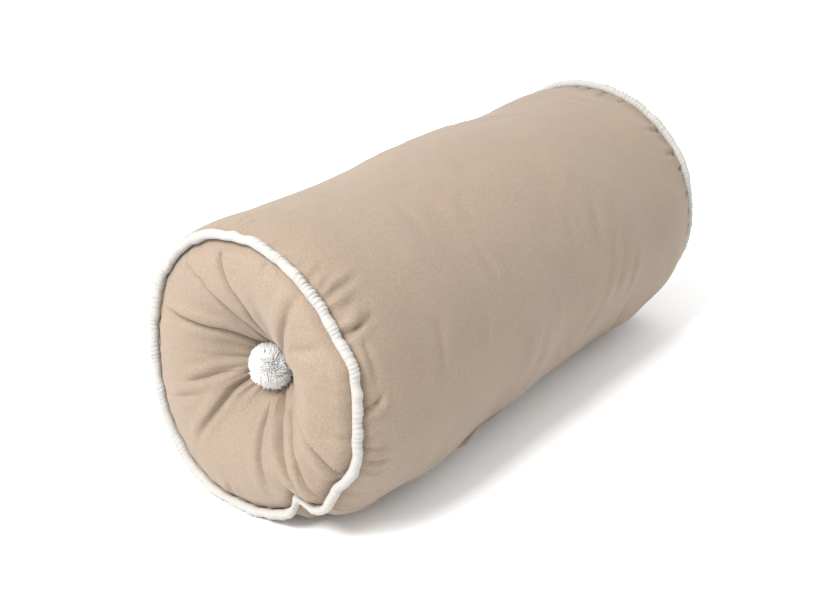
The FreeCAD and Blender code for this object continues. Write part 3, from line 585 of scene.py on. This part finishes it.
def fold_relief(chart, folds):
    """Height in mm at each chart point. A fold is (path, depth, width, lean, fade in, fade out)."""
    relief = np.zeros(len(chart))
    for path, deep, wide, lean, fade_in, fade_out in folds:
        path = np.array(path, dtype=float)
        reach = 4 * wide + 2
        near = (chart > path.min(0) - reach) & (chart < path.max(0) + reach)
        close = np.flatnonzero(np.all(near, axis=1))
        if len(close) == 0:
            continue
        distance, side, along = nearest_on(chart[close], path)
        strength = ease(along, 0, max(fade_in, 1e-6)) if fade_in else 1.0
        strength = strength * (1 - ease(along, 1 - fade_out, 1)) if fade_out else strength
        valley = -np.exp(-distance / (VALLEY_WIDE * wide))
        lip = LIP_HEIGHT * (1 + lean * side) * bell(distance - LIP_PLACE * wide, LIP_WIDE * wide)
        relief[close] += deep * strength * (valley + lip)
    return relief


# %% Folds round the two seams of the body
# A fold's path runs in degrees round the roll and millimetres from the seam. ARC is the length in
# millimetres of one degree of the belly.
ARC = math.radians(1) * 109
FRONT_FOLDS = [
    ([(56, 1), (56.3, 10), (55, 20), (53.5, 33)], 5.2, 4.0, 0.5, 0, 0.6),
    ([(53, 7), (52, 18), (50, 30)], 2.2, 3.4, 0.0, 0.3, 0.6),
    ([(58, 13.5), (66, 14.0), (75, 14.5), (82, 13.5)], 1.6, 4.6, -0.9, 0.3, 0.4),
    ([(88, 1), (85.3, 5), (85.2, 9), (84, 14), (79.5, 20)], 4.5, 3.2, -0.4, 0, 0.6),
    ([(96, 1), (97.3, 10), (96, 18)], 1.9, 3.2, 0.3, 0, 0.6),
    ([(100.3, 1), (102.3, 11), (101.6, 23)], 3.0, 3.4, 0.3, 0, 0.6),
    ([(105.4, 1), (107.4, 13), (106, 27)], 3.0, 3.4, 0.3, 0, 0.6),
    ([(110.6, 1), (111.6, 15), (112, 29)], 2.4, 3.6, 0.2, 0, 0.6),
    ([(38.5, 1), (36.5, 11), (35, 21)], 2.8, 3.2, 0.2, 0, 0.6),
    ([(41, 1), (40.1, 16), (40.3, 26), (39, 42)], 3.5, 3.8, 0.3, 0, 0.6),
    ([(46.8, 1), (46.7, 12), (47.5, 28)], 3.1, 3.4, 0.3, 0, 0.6),
    ([(50, 1), (49.2, 12), (48, 21)], 2.9, 3.0, 0.2, 0, 0.6),
    ([(9.5, 1), (11, 8), (12, 16)], 1.8, 3.0, 0.2, 0, 0.6),
    ([(24, 1), (25, 9), (25, 18)], 1.5, 3.2, 0.2, 0, 0.6),
    ([(31, 1), (31, 9), (30, 24)], 1.6, 3.2, 0.2, 0, 0.6),
]
REAR_FOLDS = [
    ([(18.7, 1), (18, 6), (17, 15)], 3.0, 3.0, 0.2, 0, 0.6),
    ([(42.3, 1), (41, 12), (38.6, 44)], 2.6, 3.4, 0.3, 0, 0.9),
    ([(55.8, 1), (54.6, 12), (53.2, 34)], 2.6, 3.2, 0.3, 0, 0.9),
    ([(64.4, 1), (64.0, 5), (63.0, 14)], 3.0, 3.0, 0.2, 0, 0.7),
    ([(69, 3.2), (82, 3.6), (97, 3.2)], 2.2, 3.0, 0.0, 0.2, 0.2),
]
LONG_FOLDS = [
    ([(66, 90), (76, 81), (86, 73.5), (94, 64), (104, 55)], 1.1, 5.0, 0.6, 0.3, 0.3),
    ([(72, 101), (82, 95), (92, 86), (103, 77)], 1.0, 5.0, 0.6, 0.3, 0.3),
    ([(81, 113), (98, 105), (108, 100)], 0.9, 5.0, 0.5, 0.3, 0.3),
    ([(76, -12), (100, -15.6), (112, -17)], 0.8, 5.0, 0.5, 0.3, 0.3),
    ([(200, -40), (225, -30), (250, -34)], 1.0, 6.0, 0.4, 0.3, 0.3),
    ([(215, 60), (240, 72), (262, 70)], 1.0, 6.0, 0.4, 0.3, 0.3),
]
dice = np.random.default_rng(8)


def seam_puckers(count, first, last):
    """Small gathers where the body's spare width is eased into the seam."""
    puckers = []
    for place in np.linspace(first, last, count):
        angle = place + dice.uniform(-3.5, 3.5)
        length = dice.uniform(14, 46)
        slant = dice.uniform(-3.0, 3.0)
        path = [(angle, 1), (angle + 0.4 * slant, 0.4 * length), (angle + slant, length)]
        deep, wide, lean = dice.uniform(0.9, 2.6), dice.uniform(3.2, 5.0), dice.uniform(-0.4, 0.4)
        puckers.append((path, deep, wide, lean, 0, 0.65))
    return puckers


def drag_lines(count):
    """Long faint lines where the cloth is drawn a little tighter one way than the other."""
    lines = []
    for place in np.linspace(0, 345, count):
        angle, x = place + dice.uniform(-8, 8), dice.uniform(-175, 175)
        sweep, slope = dice.uniform(14, 36), dice.uniform(-0.9, 0.9)
        halfway = (angle + 0.5 * sweep, x + 0.5 * slope * sweep + dice.uniform(-3, 3))
        path = [(angle, x), halfway, (angle + sweep, x + slope * sweep)]
        deep, wide, lean = dice.uniform(0.7, 1.6), dice.uniform(5.0, 9.0), dice.uniform(-0.5, 0.5)
        lines.append((path, deep, wide, lean, 0.4, 0.4))
    return lines


LONG_FOLDS += drag_lines(44)
FRONT_FOLDS += seam_puckers(25, 122, 355)
REAR_FOLDS += seam_puckers(34, 75, 370)


def in_chart(folds):
    return [([(a * ARC, d) for a, d in path], *rest) for path, *rest in folds]


def around_relief(angle, distance, folds):
    """Fold relief on a chart of arc length and distance, read twice so that it closes on itself."""
    folds = in_chart(folds)
    total = 0
    for turn in (0.0, 360.0):
        chart = np.stack([(angle + turn) * ARC, distance / MM], axis=-1)
        total = total + fold_relief(chart, folds)
    return total * MM


print(len(FRONT_FOLDS) + len(REAR_FOLDS) + len(LONG_FOLDS), "folds in the body panel")

# %% [markdown]
# One helper wraps every sheet. It makes a grid with bmesh, moves each vertex to the place that a
# function gives for its share along and its share round, keeps the flat measures as a UV map, and
# joins the edges that meet. A thin Solidify wall then gives the cloth its thickness.

# %% Wrap a grid of cloth
JOIN = 0.02 * MM


def wrapped_cloth(name, along, around, flat, place, thickness=0, body="pillow", inside_out=False):
    """A grid of cloth moved into place. flat is its size round and along, in metres."""
    bm = bmesh.new()
    bmesh.ops.create_grid(bm, x_segments=along, y_segments=around, size=1.0)
    mesh = bpy.data.meshes.new(name)
    bm.to_mesh(mesh)
    bm.free()
    square = read_points(mesh)
    share, turn = (square[:, 0] + 1) / 2, (square[:, 1] + 1) / 2
    write_points(mesh, place(share, turn))
    lay_map(mesh, turn * flat[0], share * flat[1])
    bm = bmesh.new()
    bm.from_mesh(mesh)
    bpy.data.meshes.remove(mesh)
    bmesh.ops.remove_doubles(bm, verts=bm.verts, dist=JOIN)
    piece = finish_piece(name, bm, body)
    centres = np.empty(len(piece.data.polygons) * 3)
    facing = np.empty(len(piece.data.polygons) * 3)
    piece.data.polygons.foreach_get("center", centres)
    piece.data.polygons.foreach_get("normal", facing)
    facing = facing.reshape(-1, 3)
    centres = centres.reshape(-1, 3) - (0, 0, axis_z)
    if (np.einsum("ij,ij->i", facing, centres).sum() < 0) != inside_out:
        piece.data.flip_normals()
    if thickness:
        wall = piece.modifiers.new("cloth_thickness", "SOLIDIFY")
        wall.thickness = thickness
        wall.offset = -1.0
    print(f"{name}: {len(piece.data.polygons)} faces")
    return piece


# %% Wrap the body panel
CLOTH, THIN_CLOTH = 0.7 * MM, 0.5 * MM
SLOT_HALF = 1.2 * MM
SLOT_REACH = 160 * MM
HEM = 3.6 * MM
HEM_SHARE = 0.022
ROWS, TURNS = 164, 272
EDGE_ROWS = 0.07
LIP_PROUD = 4.8 * MM
LIPS_PART = 2.6 * MM
LAP_PROUD, LAP_X, LAP_LONG = 2.6 * MM, 148 * MM, 28 * MM


def zip_lips(x):
    """How far the slit's lips part, beyond the slot's own half width, where the flap bulges."""
    return LIPS_PART * bell(x - SLIT_X, 13 * MM)


def lap_over_zip(x, reach, lower):
    """The lower lip stands up where the slit shows, and the upper one covers the parked slider."""
    shown = LIP_PROUD * bell(x - SLIT_X, 17 * MM) * bell(reach, 8) * (lower > 0)
    covering = bell(np.abs(x) - LAP_X, LAP_LONG) * bell(reach - 11, 9) * (lower < 0)
    return shown + LAP_PROUD * covering


def body_place(share, turn):
    wrap = np.clip((0.5 - np.abs(turn - 0.5)) * 2, 0, 1)
    surface = np.clip((wrap - HEM_SHARE) / (1 - HEM_SHARE), 0, 1)
    folded = np.clip(1 - wrap / HEM_SHARE, 0, 1)
    lower = np.where(turn < 0.5, -1.0, 1.0)
    front_x, rear_x = seam_places(ZIP_ANGLE + lower * surface * 180)
    along = share - EDGE_ROWS * np.sin(2 * math.pi * share)
    x = front_x + 1.0 * MM + (rear_x - front_x - 2.0 * MM) * along
    open_share = 1 / (1 + np.exp((np.abs(x) - SLOT_REACH) / (1.2 * MM)))
    gap = np.degrees((SLOT_HALF + zip_lips(x)) * open_share / ZIP_RADIUS)
    angle = ZIP_ANGLE + lower * (gap + (180 - gap) * surface)
    front_x, rear_x = seam_places(angle)
    radius = roll_radius(x, angle)
    from_front, from_rear = x - front_x, rear_x - x
    relief = around_relief(angle % 360, from_front, FRONT_FOLDS)
    relief = relief + around_relief(angle % 360, from_rear, REAR_FOLDS)
    relief = relief + around_relief(angle % 360, x, LONG_FOLDS)
    flat = np.stack([x, -radius * np.sin(angle * DEG), radius * np.cos(angle * DEG)], axis=-1)
    relief = relief + 2.0 * MM * smooth_noise(flat, 0.064, 3) + 0.35 * MM * smooth_noise(flat, 0.019, 5)
    calm = 1 - 0.96 * near_zip(x, angle)
    seated = ease(np.minimum(from_front, from_rear), 0.8 * MM, 4 * MM)
    radius = radius + relief * calm * (0.25 + 0.75 * seated)
    hem = HEM * open_share + 1.2 * MM * (1 - open_share) * seated
    radius = radius - folded * hem + lap_over_zip(x, surface * 180 * ARC, lower)
    spot = around_axis(x, radius, angle)
    spot[:, 2] = np.maximum(spot[:, 2], 0.05 * MM)
    return spot


body_panel = wrapped_cloth("body_cloth", ROWS, TURNS, (0.70, 0.49), body_place, CLOTH)
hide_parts("body_panel")
dress(body_panel, tan_cotton)
print("body cloth reaches", [round(c, 4) for c in np.abs(read_points(body_panel.data)).max(axis=0)])

# %% [markdown]
# Each end is a strip of the same cloth, sewn to the piping along one edge and gathered on a thread
# along the other. The pom-pom's twine pulls the gathers deep into the stuffing, so the end swells
# to a crown near the piping and falls into a funnel at the middle. The gathers come together in a
# few deep folds with full lobes of stuffing between them; the biggest lobe leans over the pom-pom.

# %% Crown and funnel of an end
CROWN_HIGH = 10.5
CROWN_SHARE = 0.70
FUNNEL_DEEP = 50.0
THROAT = 8.0
RIM_SUNK = 2.8
END_ROWS, END_TURNS = 66, 330


def end_profile(share, fall, full=1.0):
    """Height in mm above the seam for a share of the radius. fall is how long the lobe stays high."""
    high = CROWN_HIGH * full
    outer = np.clip((share - CROWN_SHARE) / (1 - CROWN_SHARE), 0, 1)
    crown = high * (1 - outer ** 2.2)
    down = np.clip((CROWN_SHARE - share) / CROWN_SHARE, 0, 1)
    funnel = (high + FUNNEL_DEEP - 9.0) * 1.2 * down ** fall / 1.2 ** ((fall - 1.5) * 0.8)
    return crown - funnel


# %% Folds of the front end
# A fold's path runs from the rim inwards, in degrees and millimetres from the middle.
RIDGE_MOST = 2.3
END_FOLDS = [
    ([(321, 95), (330, 75), (340, 53), (349, 37), (352, 20)], 5.0, 4.6, 0.4, 0.10, 0),
    ([(346, 96), (348, 81), (353, 67), (4, 52), (12, 34), (16, 18)], 7.2, 5.2, 0.5, 0.12, 0.35),
    ([(353, 76), (3, 59), (14, 40), (22, 22)], 4.3, 3.8, 0.4, 0.3, 0.35),
    ([(33, 100), (34, 80), (38, 69), (47, 54), (48, 36), (46, 20)], 4.3, 5.6, -0.4, 0.4, 0.3),
    ([(292, 90), (303, 55), (314, 38), (328, 20)], 4.6, 4.6, 0.4, 0.25, 0),
    ([(252, 66), (256, 36), (250, 18)], 3.1, 4.4, 0.3, 0.4, 0),
    ([(245, 82), (241, 50)], 1.9, 4.4, 0.3, 0.4, 0.4),
    ([(216, 86), (220, 66), (225, 46), (234, 32), (241, 17)], 5.5, 4.2, 0.5, 0.6, 0),
    ([(161, 84), (166, 57), (169, 38), (170, 18)], 5.0, 4.4, 0.4, 0.3, 0),
    ([(141, 92), (141, 68), (141, 49), (137, 34), (150, 18)], 6.7, 4.6, 0.5, 0.2, 0),
    ([(136, 99), (135, 82), (128, 66), (121, 48), (118, 30)], 6.0, 4.4, 0.4, 0.15, 0.1),
    ([(118, 99), (113, 84), (107, 65), (96, 50), (78, 36), (62, 24)], 7.8, 4.8, -0.6, 0.12, 0),
    ([(119, 97), (116, 86), (111, 74)], 2.9, 3.6, 0.3, 0.2, 0.5),
    ([(58, 88), (49, 64)], 1.9, 6.0, 0.2, 0.4, 0.5),
    ([(100, 96), (96, 84)], 1.7, 3.6, 0.2, 0.1, 0.6),
    ([(80, 97), (76, 86)], 1.9, 3.8, 0.2, 0.1, 0.6),
    ([(12, 97), (15, 84)], 1.9, 3.8, 0.2, 0.1, 0.6),
    ([(190, 97), (192, 82)], 1.6, 3.8, 0.2, 0.1, 0.6),
    ([(270, 97), (272, 85)], 1.6, 3.8, 0.2, 0.1, 0.6),
]
LOBES = [(75, 34, 1.0), (191, 22, 0.35), (270, 16, 0.25), (306, 14, 0.3)]
REAR_TURN = 250
END_TUCK = 2.8
PLEATS = 21


def turned_folds(folds, turn):
    """The same folds mirrored for the other end and turned round, with slightly uneven paths."""
    return [([(turn - a, r * (1 + 0.04 * math.sin(a))) for a, r in path], deep, wide, -lean, *fades)
            for path, deep, wide, lean, *fades in folds]


def on_disc(path):
    """A path of angles and distances as points on the flat disc of the end."""
    return [(r * math.sin(a * DEG), r * math.cos(a * DEG)) for a, r in path]


def end_place(rear):
    folds = turned_folds(END_FOLDS, REAR_TURN) if rear else END_FOLDS
    lobes = [(REAR_TURN - a, w, h) for a, w, h in LOBES] if rear else LOBES
    flat_folds = [(on_disc(path), *rest) for path, *rest in folds]
    outward = 1 if rear else -1

    def place(share, turn):
        angle = turn * 360
        ring = seam_radius(angle, rear) / MM - END_TUCK
        rho = ring + (THROAT - ring) * share
        swell = sum(high * bell(turn_between(angle, facing), wide) for facing, wide, high in lobes)
        fold_share = rho / ring
        full = 0.70 + 0.36 * bell(turn_between(angle, 180 if rear else 75), 62)
        plateau = 1.5 + 0.5 * bell(turn_between(angle, 285), 70)
        plateau = plateau + 0.4 * bell(turn_between(angle, 180), 50)
        height = end_profile(fold_share, plateau - 0.1 * swell, full)
        height = height + 3.2 * swell * bell(rho - 66, 16)
        chart = np.stack([rho * np.sin(angle * DEG), rho * np.cos(angle * DEG)], axis=-1)
        relief = fold_relief(chart, flat_folds)
        pleats = np.cos(PLEATS * angle * DEG + 2 * np.sin(3 * angle * DEG))
        relief = relief + 1.3 * pleats * (1 - ease(rho, 16, 44))
        soft = np.stack([chart[:, 0], chart[:, 1], height], axis=-1)
        relief = relief + 1.2 * smooth_noise(soft, 34.0, 11 + rear)
        relief = relief + 0.35 * smooth_noise(soft, 11.0, 13 + rear)
        relief = np.where(relief > 0, RIDGE_MOST * np.tanh(relief / RIDGE_MOST), relief)
        seated = 1 - ease(rho, ring - 5, ring - 0.5)
        height = height + relief * seated - RIM_SUNK * ease(rho, ring - 9, ring)
        lean = -2.0 * swell * bell(rho - 54, 13)
        rho = np.maximum(rho + lean, THROAT)
        spot = seam_line(angle, rear, rho * MM)
        spot[:, 0] += outward * height * MM
        return spot

    return place


for rear, side in ((False, "front"), (True, "rear")):
    end_cloth = wrapped_cloth("end_cloth_" + side, END_ROWS, END_TURNS, (0.66, 0.125),
                              end_place(rear), CLOTH)
    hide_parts("end_panel_" + side)
    dress(end_cloth, tan_cotton)

# %% [markdown]
# Piping is a soft cord in a strip of cloth cut on the bias, so the cover takes the curve with small
# slanting wrinkles instead of pleats. It is a tube spun round the roll and then laid along the seam.
# Where its two ends are tucked under each other, the tube dips and thickens.

# %% Piping round both ends
PIPE_STEPS, PIPE_SIDES = 900, 16
FRONT_JOIN, REAR_JOIN, JOIN_DIP = 149, 205, 4


def piping_place(rear, radius):
    """The cover: slanting and fine crinkles in patches, and slow lumps, calmer on the hidden side."""
    join_angle = REAR_JOIN if rear else FRONT_JOIN

    def place(share, turn):
        angle = share * 360
        around = turn * 2 * math.pi
        arc = angle * ARC
        spot = seam_line(angle, rear)
        drift = smooth_noise(spot, 0.009, 31 + rear)
        slant = np.sin(arc / 0.58 + 1.4 * np.cos(around) + 5.0 * drift)
        fine = np.sin(arc / 0.36 - 2.0 * np.sin(around) - 7.0 * drift)
        patch = np.clip(0.70 + 1.9 * smooth_noise(spot, 0.020, 21 + rear), 0.18, 1.0)
        strong = 0.7 + 0.6 * bell(turn_between(angle, 265), 60)
        strong = strong + 0.3 * bell(turn_between(angle, 40), 22)
        slow = 0.26 * smooth_noise(spot, 0.013, 41 + rear)
        slow = slow + 0.22 * smooth_noise(spot, 0.0055, 51 + rear)
        shown = 0.25 + 0.75 * ease(np.cos(around), -0.5, 0.3)
        wave = 1 + ((0.15 * slant + 0.08 * fine) * patch * strong + slow) * shown
        join = bell(turn_between(angle, join_angle), 2.6)
        dip = bell(turn_between(angle, join_angle + JOIN_DIP), 1.4)
        tube = radius * wave * (1 + 0.10 * join) * (1 - 0.10 * dip)
        out = ring_tube(spot, tube, around, angle)
        out[:, 2] = np.maximum(out[:, 2], 0.1 * MM)
        return out
    return place


for rear, side in ((False, "front"), (True, "rear")):
    piping = wrapped_cloth("piping_cloth_" + side, PIPE_STEPS, PIPE_SIDES, (0.022, 0.65),
                           piping_place(rear, piping_half), THIN_CLOTH)
    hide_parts("piping_cover_" + side)
    dress(piping, ivory_cotton)

# %% [markdown]
# Under the ivory cover runs a soft three-strand cord. It never shows, but it is what gives the
# piping its round shape, so it is laid along the same seam, inside the cover.

# %% Cords inside the piping
CORD_RADIUS = 2.25 * MM
STRANDS = 3
CORD_TWISTS, RING_TWISTS, TWINE_TWISTS = 60, 24, 150


def strand_tube(around, along, lobes, turns, swell=0.12):
    """Radius factor of a twisted cord: one lobe for each strand, turning along its length."""
    return 1 + swell * np.abs(np.cos(lobes / 2 * around + turns * math.pi * along)) - swell / 2


def cord_place(rear):
    def place(share, turn):
        angle, around = share * 360, turn * 2 * math.pi
        tube = CORD_RADIUS * strand_tube(around, share, STRANDS, CORD_TWISTS)
        return ring_tube(seam_line(angle, rear), tube, around, angle)
    return place


for rear, side in ((False, "front"), (True, "rear")):
    cord = wrapped_cloth("piping_cord_" + side + "_strands", 600, 18, (0.014, 0.64),
                         cord_place(rear))
    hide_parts("piping_cord_" + side)
    dress(cord, cord_cotton)

# %% [markdown]
# The gathers of each end are drawn up on a thread, and the pom-pom hangs on a tie. One long twine
# joins both ties through the middle of the stuffing, and it holds the funnels in. All of them are
# twisted threads: a tube whose section has a lobe for each strand.

# %% Threads, ties and the tufting twine
THREAD_FILLS = 0.92
THREAD_SWELL = 0.2
TWINE_RADIUS = 0.9 * MM


def ring_place(node):
    """A thread laid in one ring inside a node's box."""
    centre, size = middle(node), span(node)
    thread = size.x / 2 * THREAD_FILLS
    reach = size.z / 2 - thread

    def place(share, turn):
        lap, around = share * 2 * math.pi, turn * 2 * math.pi
        tube = thread * strand_tube(around, share, STRANDS, RING_TWISTS, THREAD_SWELL)
        out = reach + tube * np.cos(around)
        return np.stack([centre.x + tube * np.sin(around), centre.y - out * np.sin(lap),
                         centre.z + out * np.cos(lap)], axis=-1)
    return place


for side in ("front", "rear"):
    for node, label, slot, finish in (("gathering_thread_", "gathers_", "tan_thread", tan_thread),
                                      ("pompom_tie_", "tie_", "white_thread", white_thread)):
        ring = wrapped_cloth(label + side, 120, 12, (0.004, 0.05), ring_place(node + side))
        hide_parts(node + side)
        dress(ring, finish)


def twine_place(share, turn):
    low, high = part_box("tufting_twine")
    centre = middle("tufting_twine")
    around = turn * 2 * math.pi
    end = np.minimum(share, 1 - share)
    tube = TWINE_RADIUS * strand_tube(around, share, STRANDS, TWINE_TWISTS, THREAD_SWELL)
    tube = tube * ease(end, -1e-9, 0.002)
    return np.stack([low[0] + (high[0] - low[0]) * share, centre.y + tube * np.cos(around),
                     centre.z + tube * np.sin(around)], axis=-1)


twine = wrapped_cloth("tufting_twine_strands", 900, 12, (0.006, 0.386), twine_place)
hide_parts("tufting_twine")
dress(twine, white_thread)

# %% [markdown]
# A pom-pom is a ball of cut yarn ends. Each end fans out into a tuft of fibres, so a tuft is made
# once, from a few thin cones, and set all over a small core, each one turned and tilted a little
# differently. The ball is pressed into the funnel, so it is a bit flatter along the roll, and it
# stands a few millimetres higher than the plain solid does.

# %% Pom-poms
TUFTS = 420
TUFT_FIBRES = 8
TUFT_WIDE = 0.75 * MM
FIBRE_THICK, FIBRE_TIP = 0.62 * MM, 0.24 * MM
POMPOM_RADIUS = 16.6 * MM
POMPOM_FLAT = 0.90
POMPOM_LIFT = 3.2 * MM
CORE_SHARE = 0.74
yarn_dice = np.random.default_rng(21)


def make_tuft():
    """One cut yarn end, standing on the origin and pointing along +Z."""
    bm = bmesh.new()
    for number in range(TUFT_FIBRES):
        out = 0.0 if number == 0 else TUFT_WIDE
        turn = Matrix.Rotation(number * 2 * math.pi / (TUFT_FIBRES - 1), 4, "Z")
        lean = Matrix.Rotation(yarn_dice.uniform(0.10, 0.34) if number else 0.0, 4, "Y")
        tall = yarn_dice.uniform(5.2, 7.0) * MM
        lift = Matrix.Translation((0, 0, tall / 2))
        shift = Matrix.Translation((out, 0, 0))
        bmesh.ops.create_cone(bm, cap_ends=True, cap_tris=True, segments=5, radius1=FIBRE_THICK,
                              radius2=FIBRE_TIP, depth=tall, matrix=turn @ shift @ lean @ lift)
    mesh = bpy.data.meshes.new("tuft")
    bm.to_mesh(mesh)
    bm.free()
    return mesh


def make_pompom(side):
    centre = middle("pompom_" + side)
    centre.z += POMPOM_LIFT
    tuft = make_tuft()
    bm = bmesh.new()
    bmesh.ops.create_icosphere(bm, subdivisions=4, radius=POMPOM_RADIUS * CORE_SHARE)
    for vert in bm.verts:
        vert.co *= 1 + 0.08 * noise.noise(vert.co * 400)
    golden = math.pi * (3 - math.sqrt(5))
    for number in range(TUFTS):
        height = 1 - 2 * (number + 0.5) / TUFTS
        around = number * golden + yarn_dice.uniform(-0.12, 0.12)
        wide = math.sqrt(1 - height * height)
        out = Vector((height, wide * math.cos(around), wide * math.sin(around)))
        tilt = Vector(yarn_dice.normal(0, 0.16, 3))
        aim = (out + tilt).normalized().to_track_quat("Z", "Y").to_matrix().to_4x4()
        size = Matrix.Scale(yarn_dice.uniform(0.85, 1.12), 4)
        turn = Matrix.Rotation(yarn_dice.uniform(0, 6.28), 4, "Z")
        base = out * POMPOM_RADIUS * yarn_dice.uniform(0.58, 0.64)
        first = len(bm.verts)
        bm.from_mesh(tuft)
        bm.verts.ensure_lookup_table()
        stand = Matrix.Translation(base) @ aim @ turn @ size
        bmesh.ops.transform(bm, matrix=stand, verts=bm.verts[first:])
    bmesh.ops.scale(bm, vec=(POMPOM_FLAT, 1, 1), verts=bm.verts)
    bmesh.ops.translate(bm, vec=centre, verts=bm.verts)
    bpy.data.meshes.remove(tuft)
    piece = finish_piece("pompom_yarn_" + side, bm)
    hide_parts("pompom_" + side)
    dress(piece, white_yarn)
    print(f"{piece.name}: {len(piece.data.polygons)} faces in {TUFTS} tufts")


for side in ("front", "rear"):
    make_pompom(side)

# %% [markdown]
# The zip lies under the slit, low on the flank, so that it can't be seen or felt when the pillow is
# in use. Its two tapes are narrow woven strips, and each carries a coil of stiff nylon line bent
# into teeth. The slider and the pull keep the frame's own solids, in brushed metal.

# %% Zip tapes and coils
TAPE_THICK = 0.5 * MM
TAPE_SHARE = 0.93


def half_across(node):
    """Half of a zip part's width, measured across the slant of its box."""
    size = span(node)
    return math.hypot(size.y, size.z) / 2


def tape_place(node):
    low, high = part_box(node)
    centre = middle(node)
    half_wide = half_across(node) * TAPE_SHARE

    def place(share, turn):
        x = low[0] + (high[0] - low[0]) * share
        across = (turn - 0.5) * 2 * half_wide
        ripple = 0.12 * MM * np.sin(x / (3.5 * MM)) * np.sin(turn * math.pi)
        spot = np.zeros((len(share), 3))
        spot[:, 0] = x
        spot[:, 1] = centre.y + ZIP_UP.y * across + ZIP_OUT.y * (ripple + TAPE_THICK / 2)
        spot[:, 2] = centre.z + ZIP_UP.z * across + ZIP_OUT.z * (ripple + TAPE_THICK / 2)
        return spot
    return place


for side in ("upper", "lower"):
    tape = wrapped_cloth("zip_tape_cloth_" + side, 170, 10, (0.0125, 0.336),
                         tape_place("zip_tape_" + side), TAPE_THICK)
    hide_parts("zip_tape_" + side)
    dress(tape, tape_cloth)

COIL_TURNS = 222
COIL_LINE = 0.26 * MM
COIL_SHARE, COIL_FLAT = 0.62, 0.62


def coil_place(node):
    low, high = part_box(node)
    centre = middle(node)
    half = half_across(node) * COIL_SHARE

    def place(share, turn):
        winding = share * COIL_TURNS * 2 * math.pi
        around = turn * 2 * math.pi
        across, proud = half * np.cos(winding), COIL_FLAT * half * np.sin(winding)
        x = low[0] + COIL_LINE + (high[0] - low[0] - 2 * COIL_LINE) * share
        line = np.stack([x, across, proud], axis=-1)
        sideways = np.stack([np.zeros_like(share), np.cos(winding), np.sin(winding)], axis=-1)
        lengthways = np.array([1.0, 0, 0])
        section = np.cos(around)[:, None] * sideways + np.sin(around)[:, None] * lengthways
        spot = line + COIL_LINE * section
        out = np.outer(spot[:, 1], ZIP_UP) + np.outer(spot[:, 2], ZIP_OUT)
        out[:, 0] = spot[:, 0]
        out[:, 1] += centre.y
        out[:, 2] += centre.z
        return out
    return place


for side in ("upper", "lower"):
    coil = wrapped_cloth("zip_teeth_" + side, COIL_TURNS * 12, 5, (0.002, 1.0),
                         coil_place("zip_coil_" + side))
    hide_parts("zip_coil_" + side)
    dress(coil, coil_nylon)

for node in ("zip_top_stop", "zip_bottom_stop", "zip_slider", "zip_pull"):
    dress(frame["nodes"][node], zip_metal)

# %% [markdown]
# Inside is a separate insert: a calico bag, and the fibre that fills it. The bag follows the cover a
# few millimetres further in, without its folds, and dips under the zip so that the slider runs
# free. The fibre is one closed, padded shape.

# %% The insert
INSERT_SHORT = 7 * MM
ZIP_DIP, ZIP_DIP_ROUND = 8.5 * MM, 11
FIBRE_UNDER = 1.0 * MM
RIM_DEPTH = 8


def lining_depth(from_front, from_rear):
    """How far the lining lies under the cover: further near the seams, where folds are deep."""
    return (3.2 + 3.4 * bell(from_front / MM, 42) + 3.4 * bell(from_rear / MM, 42)) * MM


def inner_roll(extra, along, angle):
    front_x, rear_x = seam_places(angle)
    x = front_x + INSERT_SHORT + (rear_x - front_x - 2 * INSERT_SHORT) * along
    radius = roll_radius(x, angle) - lining_depth(x - front_x, rear_x - x) - extra
    under_zip = bell(turn_between(angle, ZIP_ANGLE), ZIP_DIP_ROUND) * over_zip(x)
    return around_axis(x, radius - ZIP_DIP * under_zip, angle)


def inner_end(rear, extra, share, angle, hole=THROAT + 9):
    """The insert's end, from the rim at share nothing to its hole at share one."""
    front_x, rear_x = seam_places(angle)
    rim_x = rear_x - INSERT_SHORT if rear else front_x + INSERT_SHORT
    rim = roll_radius(rim_x, angle) - lining_depth(INSERT_SHORT, 1.0) - extra
    ring = rim / MM - 0.3
    rho = ring + (hole - ring) * share
    height = end_profile(np.clip((rho - 8) / (ring + 4), 0, 1), 1.5 + 0 * rho) - 9.5 - extra / MM
    height = -RIM_DEPTH + (np.minimum(height, -1.0) + RIM_DEPTH) * ease(share, 0.02, 0.30)
    spot = seam_line(angle, rear, rho * MM)
    spot[:, 0] += (1 if rear else -1) * height * MM
    return spot


def calico_place(share, turn):
    return inner_roll(0.0, share, turn * 360)


calico = wrapped_cloth("insert_calico_body", 60, 96, (0.66, 0.45), calico_place, THIN_CLOTH)
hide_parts("insert_body")
dress(calico, lining_cloth)
for rear, side in ((False, "front"), (True, "rear")):
    calico_end = wrapped_cloth("insert_calico_end_" + side, 28, 96, (0.6, 0.11),
                               lambda share, turn: inner_end(rear, 0.0, share, turn * 360),
                               THIN_CLOTH)
    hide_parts("insert_end_" + side)
    dress(calico_end, lining_cloth)

END_SHARE = 0.2


def fibre_place(share, turn):
    angle = turn * 360
    at_front = 1 - np.clip(share / END_SHARE, 0, 1)
    at_rear = np.clip((share - 1) / END_SHARE + 1, 0, 1)
    along = np.clip((share - END_SHARE) / (1 - 2 * END_SHARE), 0, 1)
    front = inner_end(False, FIBRE_UNDER, at_front, angle, hole=0.0)
    rear = inner_end(True, FIBRE_UNDER, at_rear, angle, hole=0.0)
    side = inner_roll(FIBRE_UNDER, along, angle)
    spot = np.where((share < END_SHARE - 1e-6)[:, None], front, side)
    return np.where((share > 1 - END_SHARE + 1e-6)[:, None], rear, spot)


fibre = wrapped_cloth("insert_fibre", 100, 96, (0.66, 0.7), fibre_place)
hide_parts("insert_filling")
dress(fibre, loose_fibre)
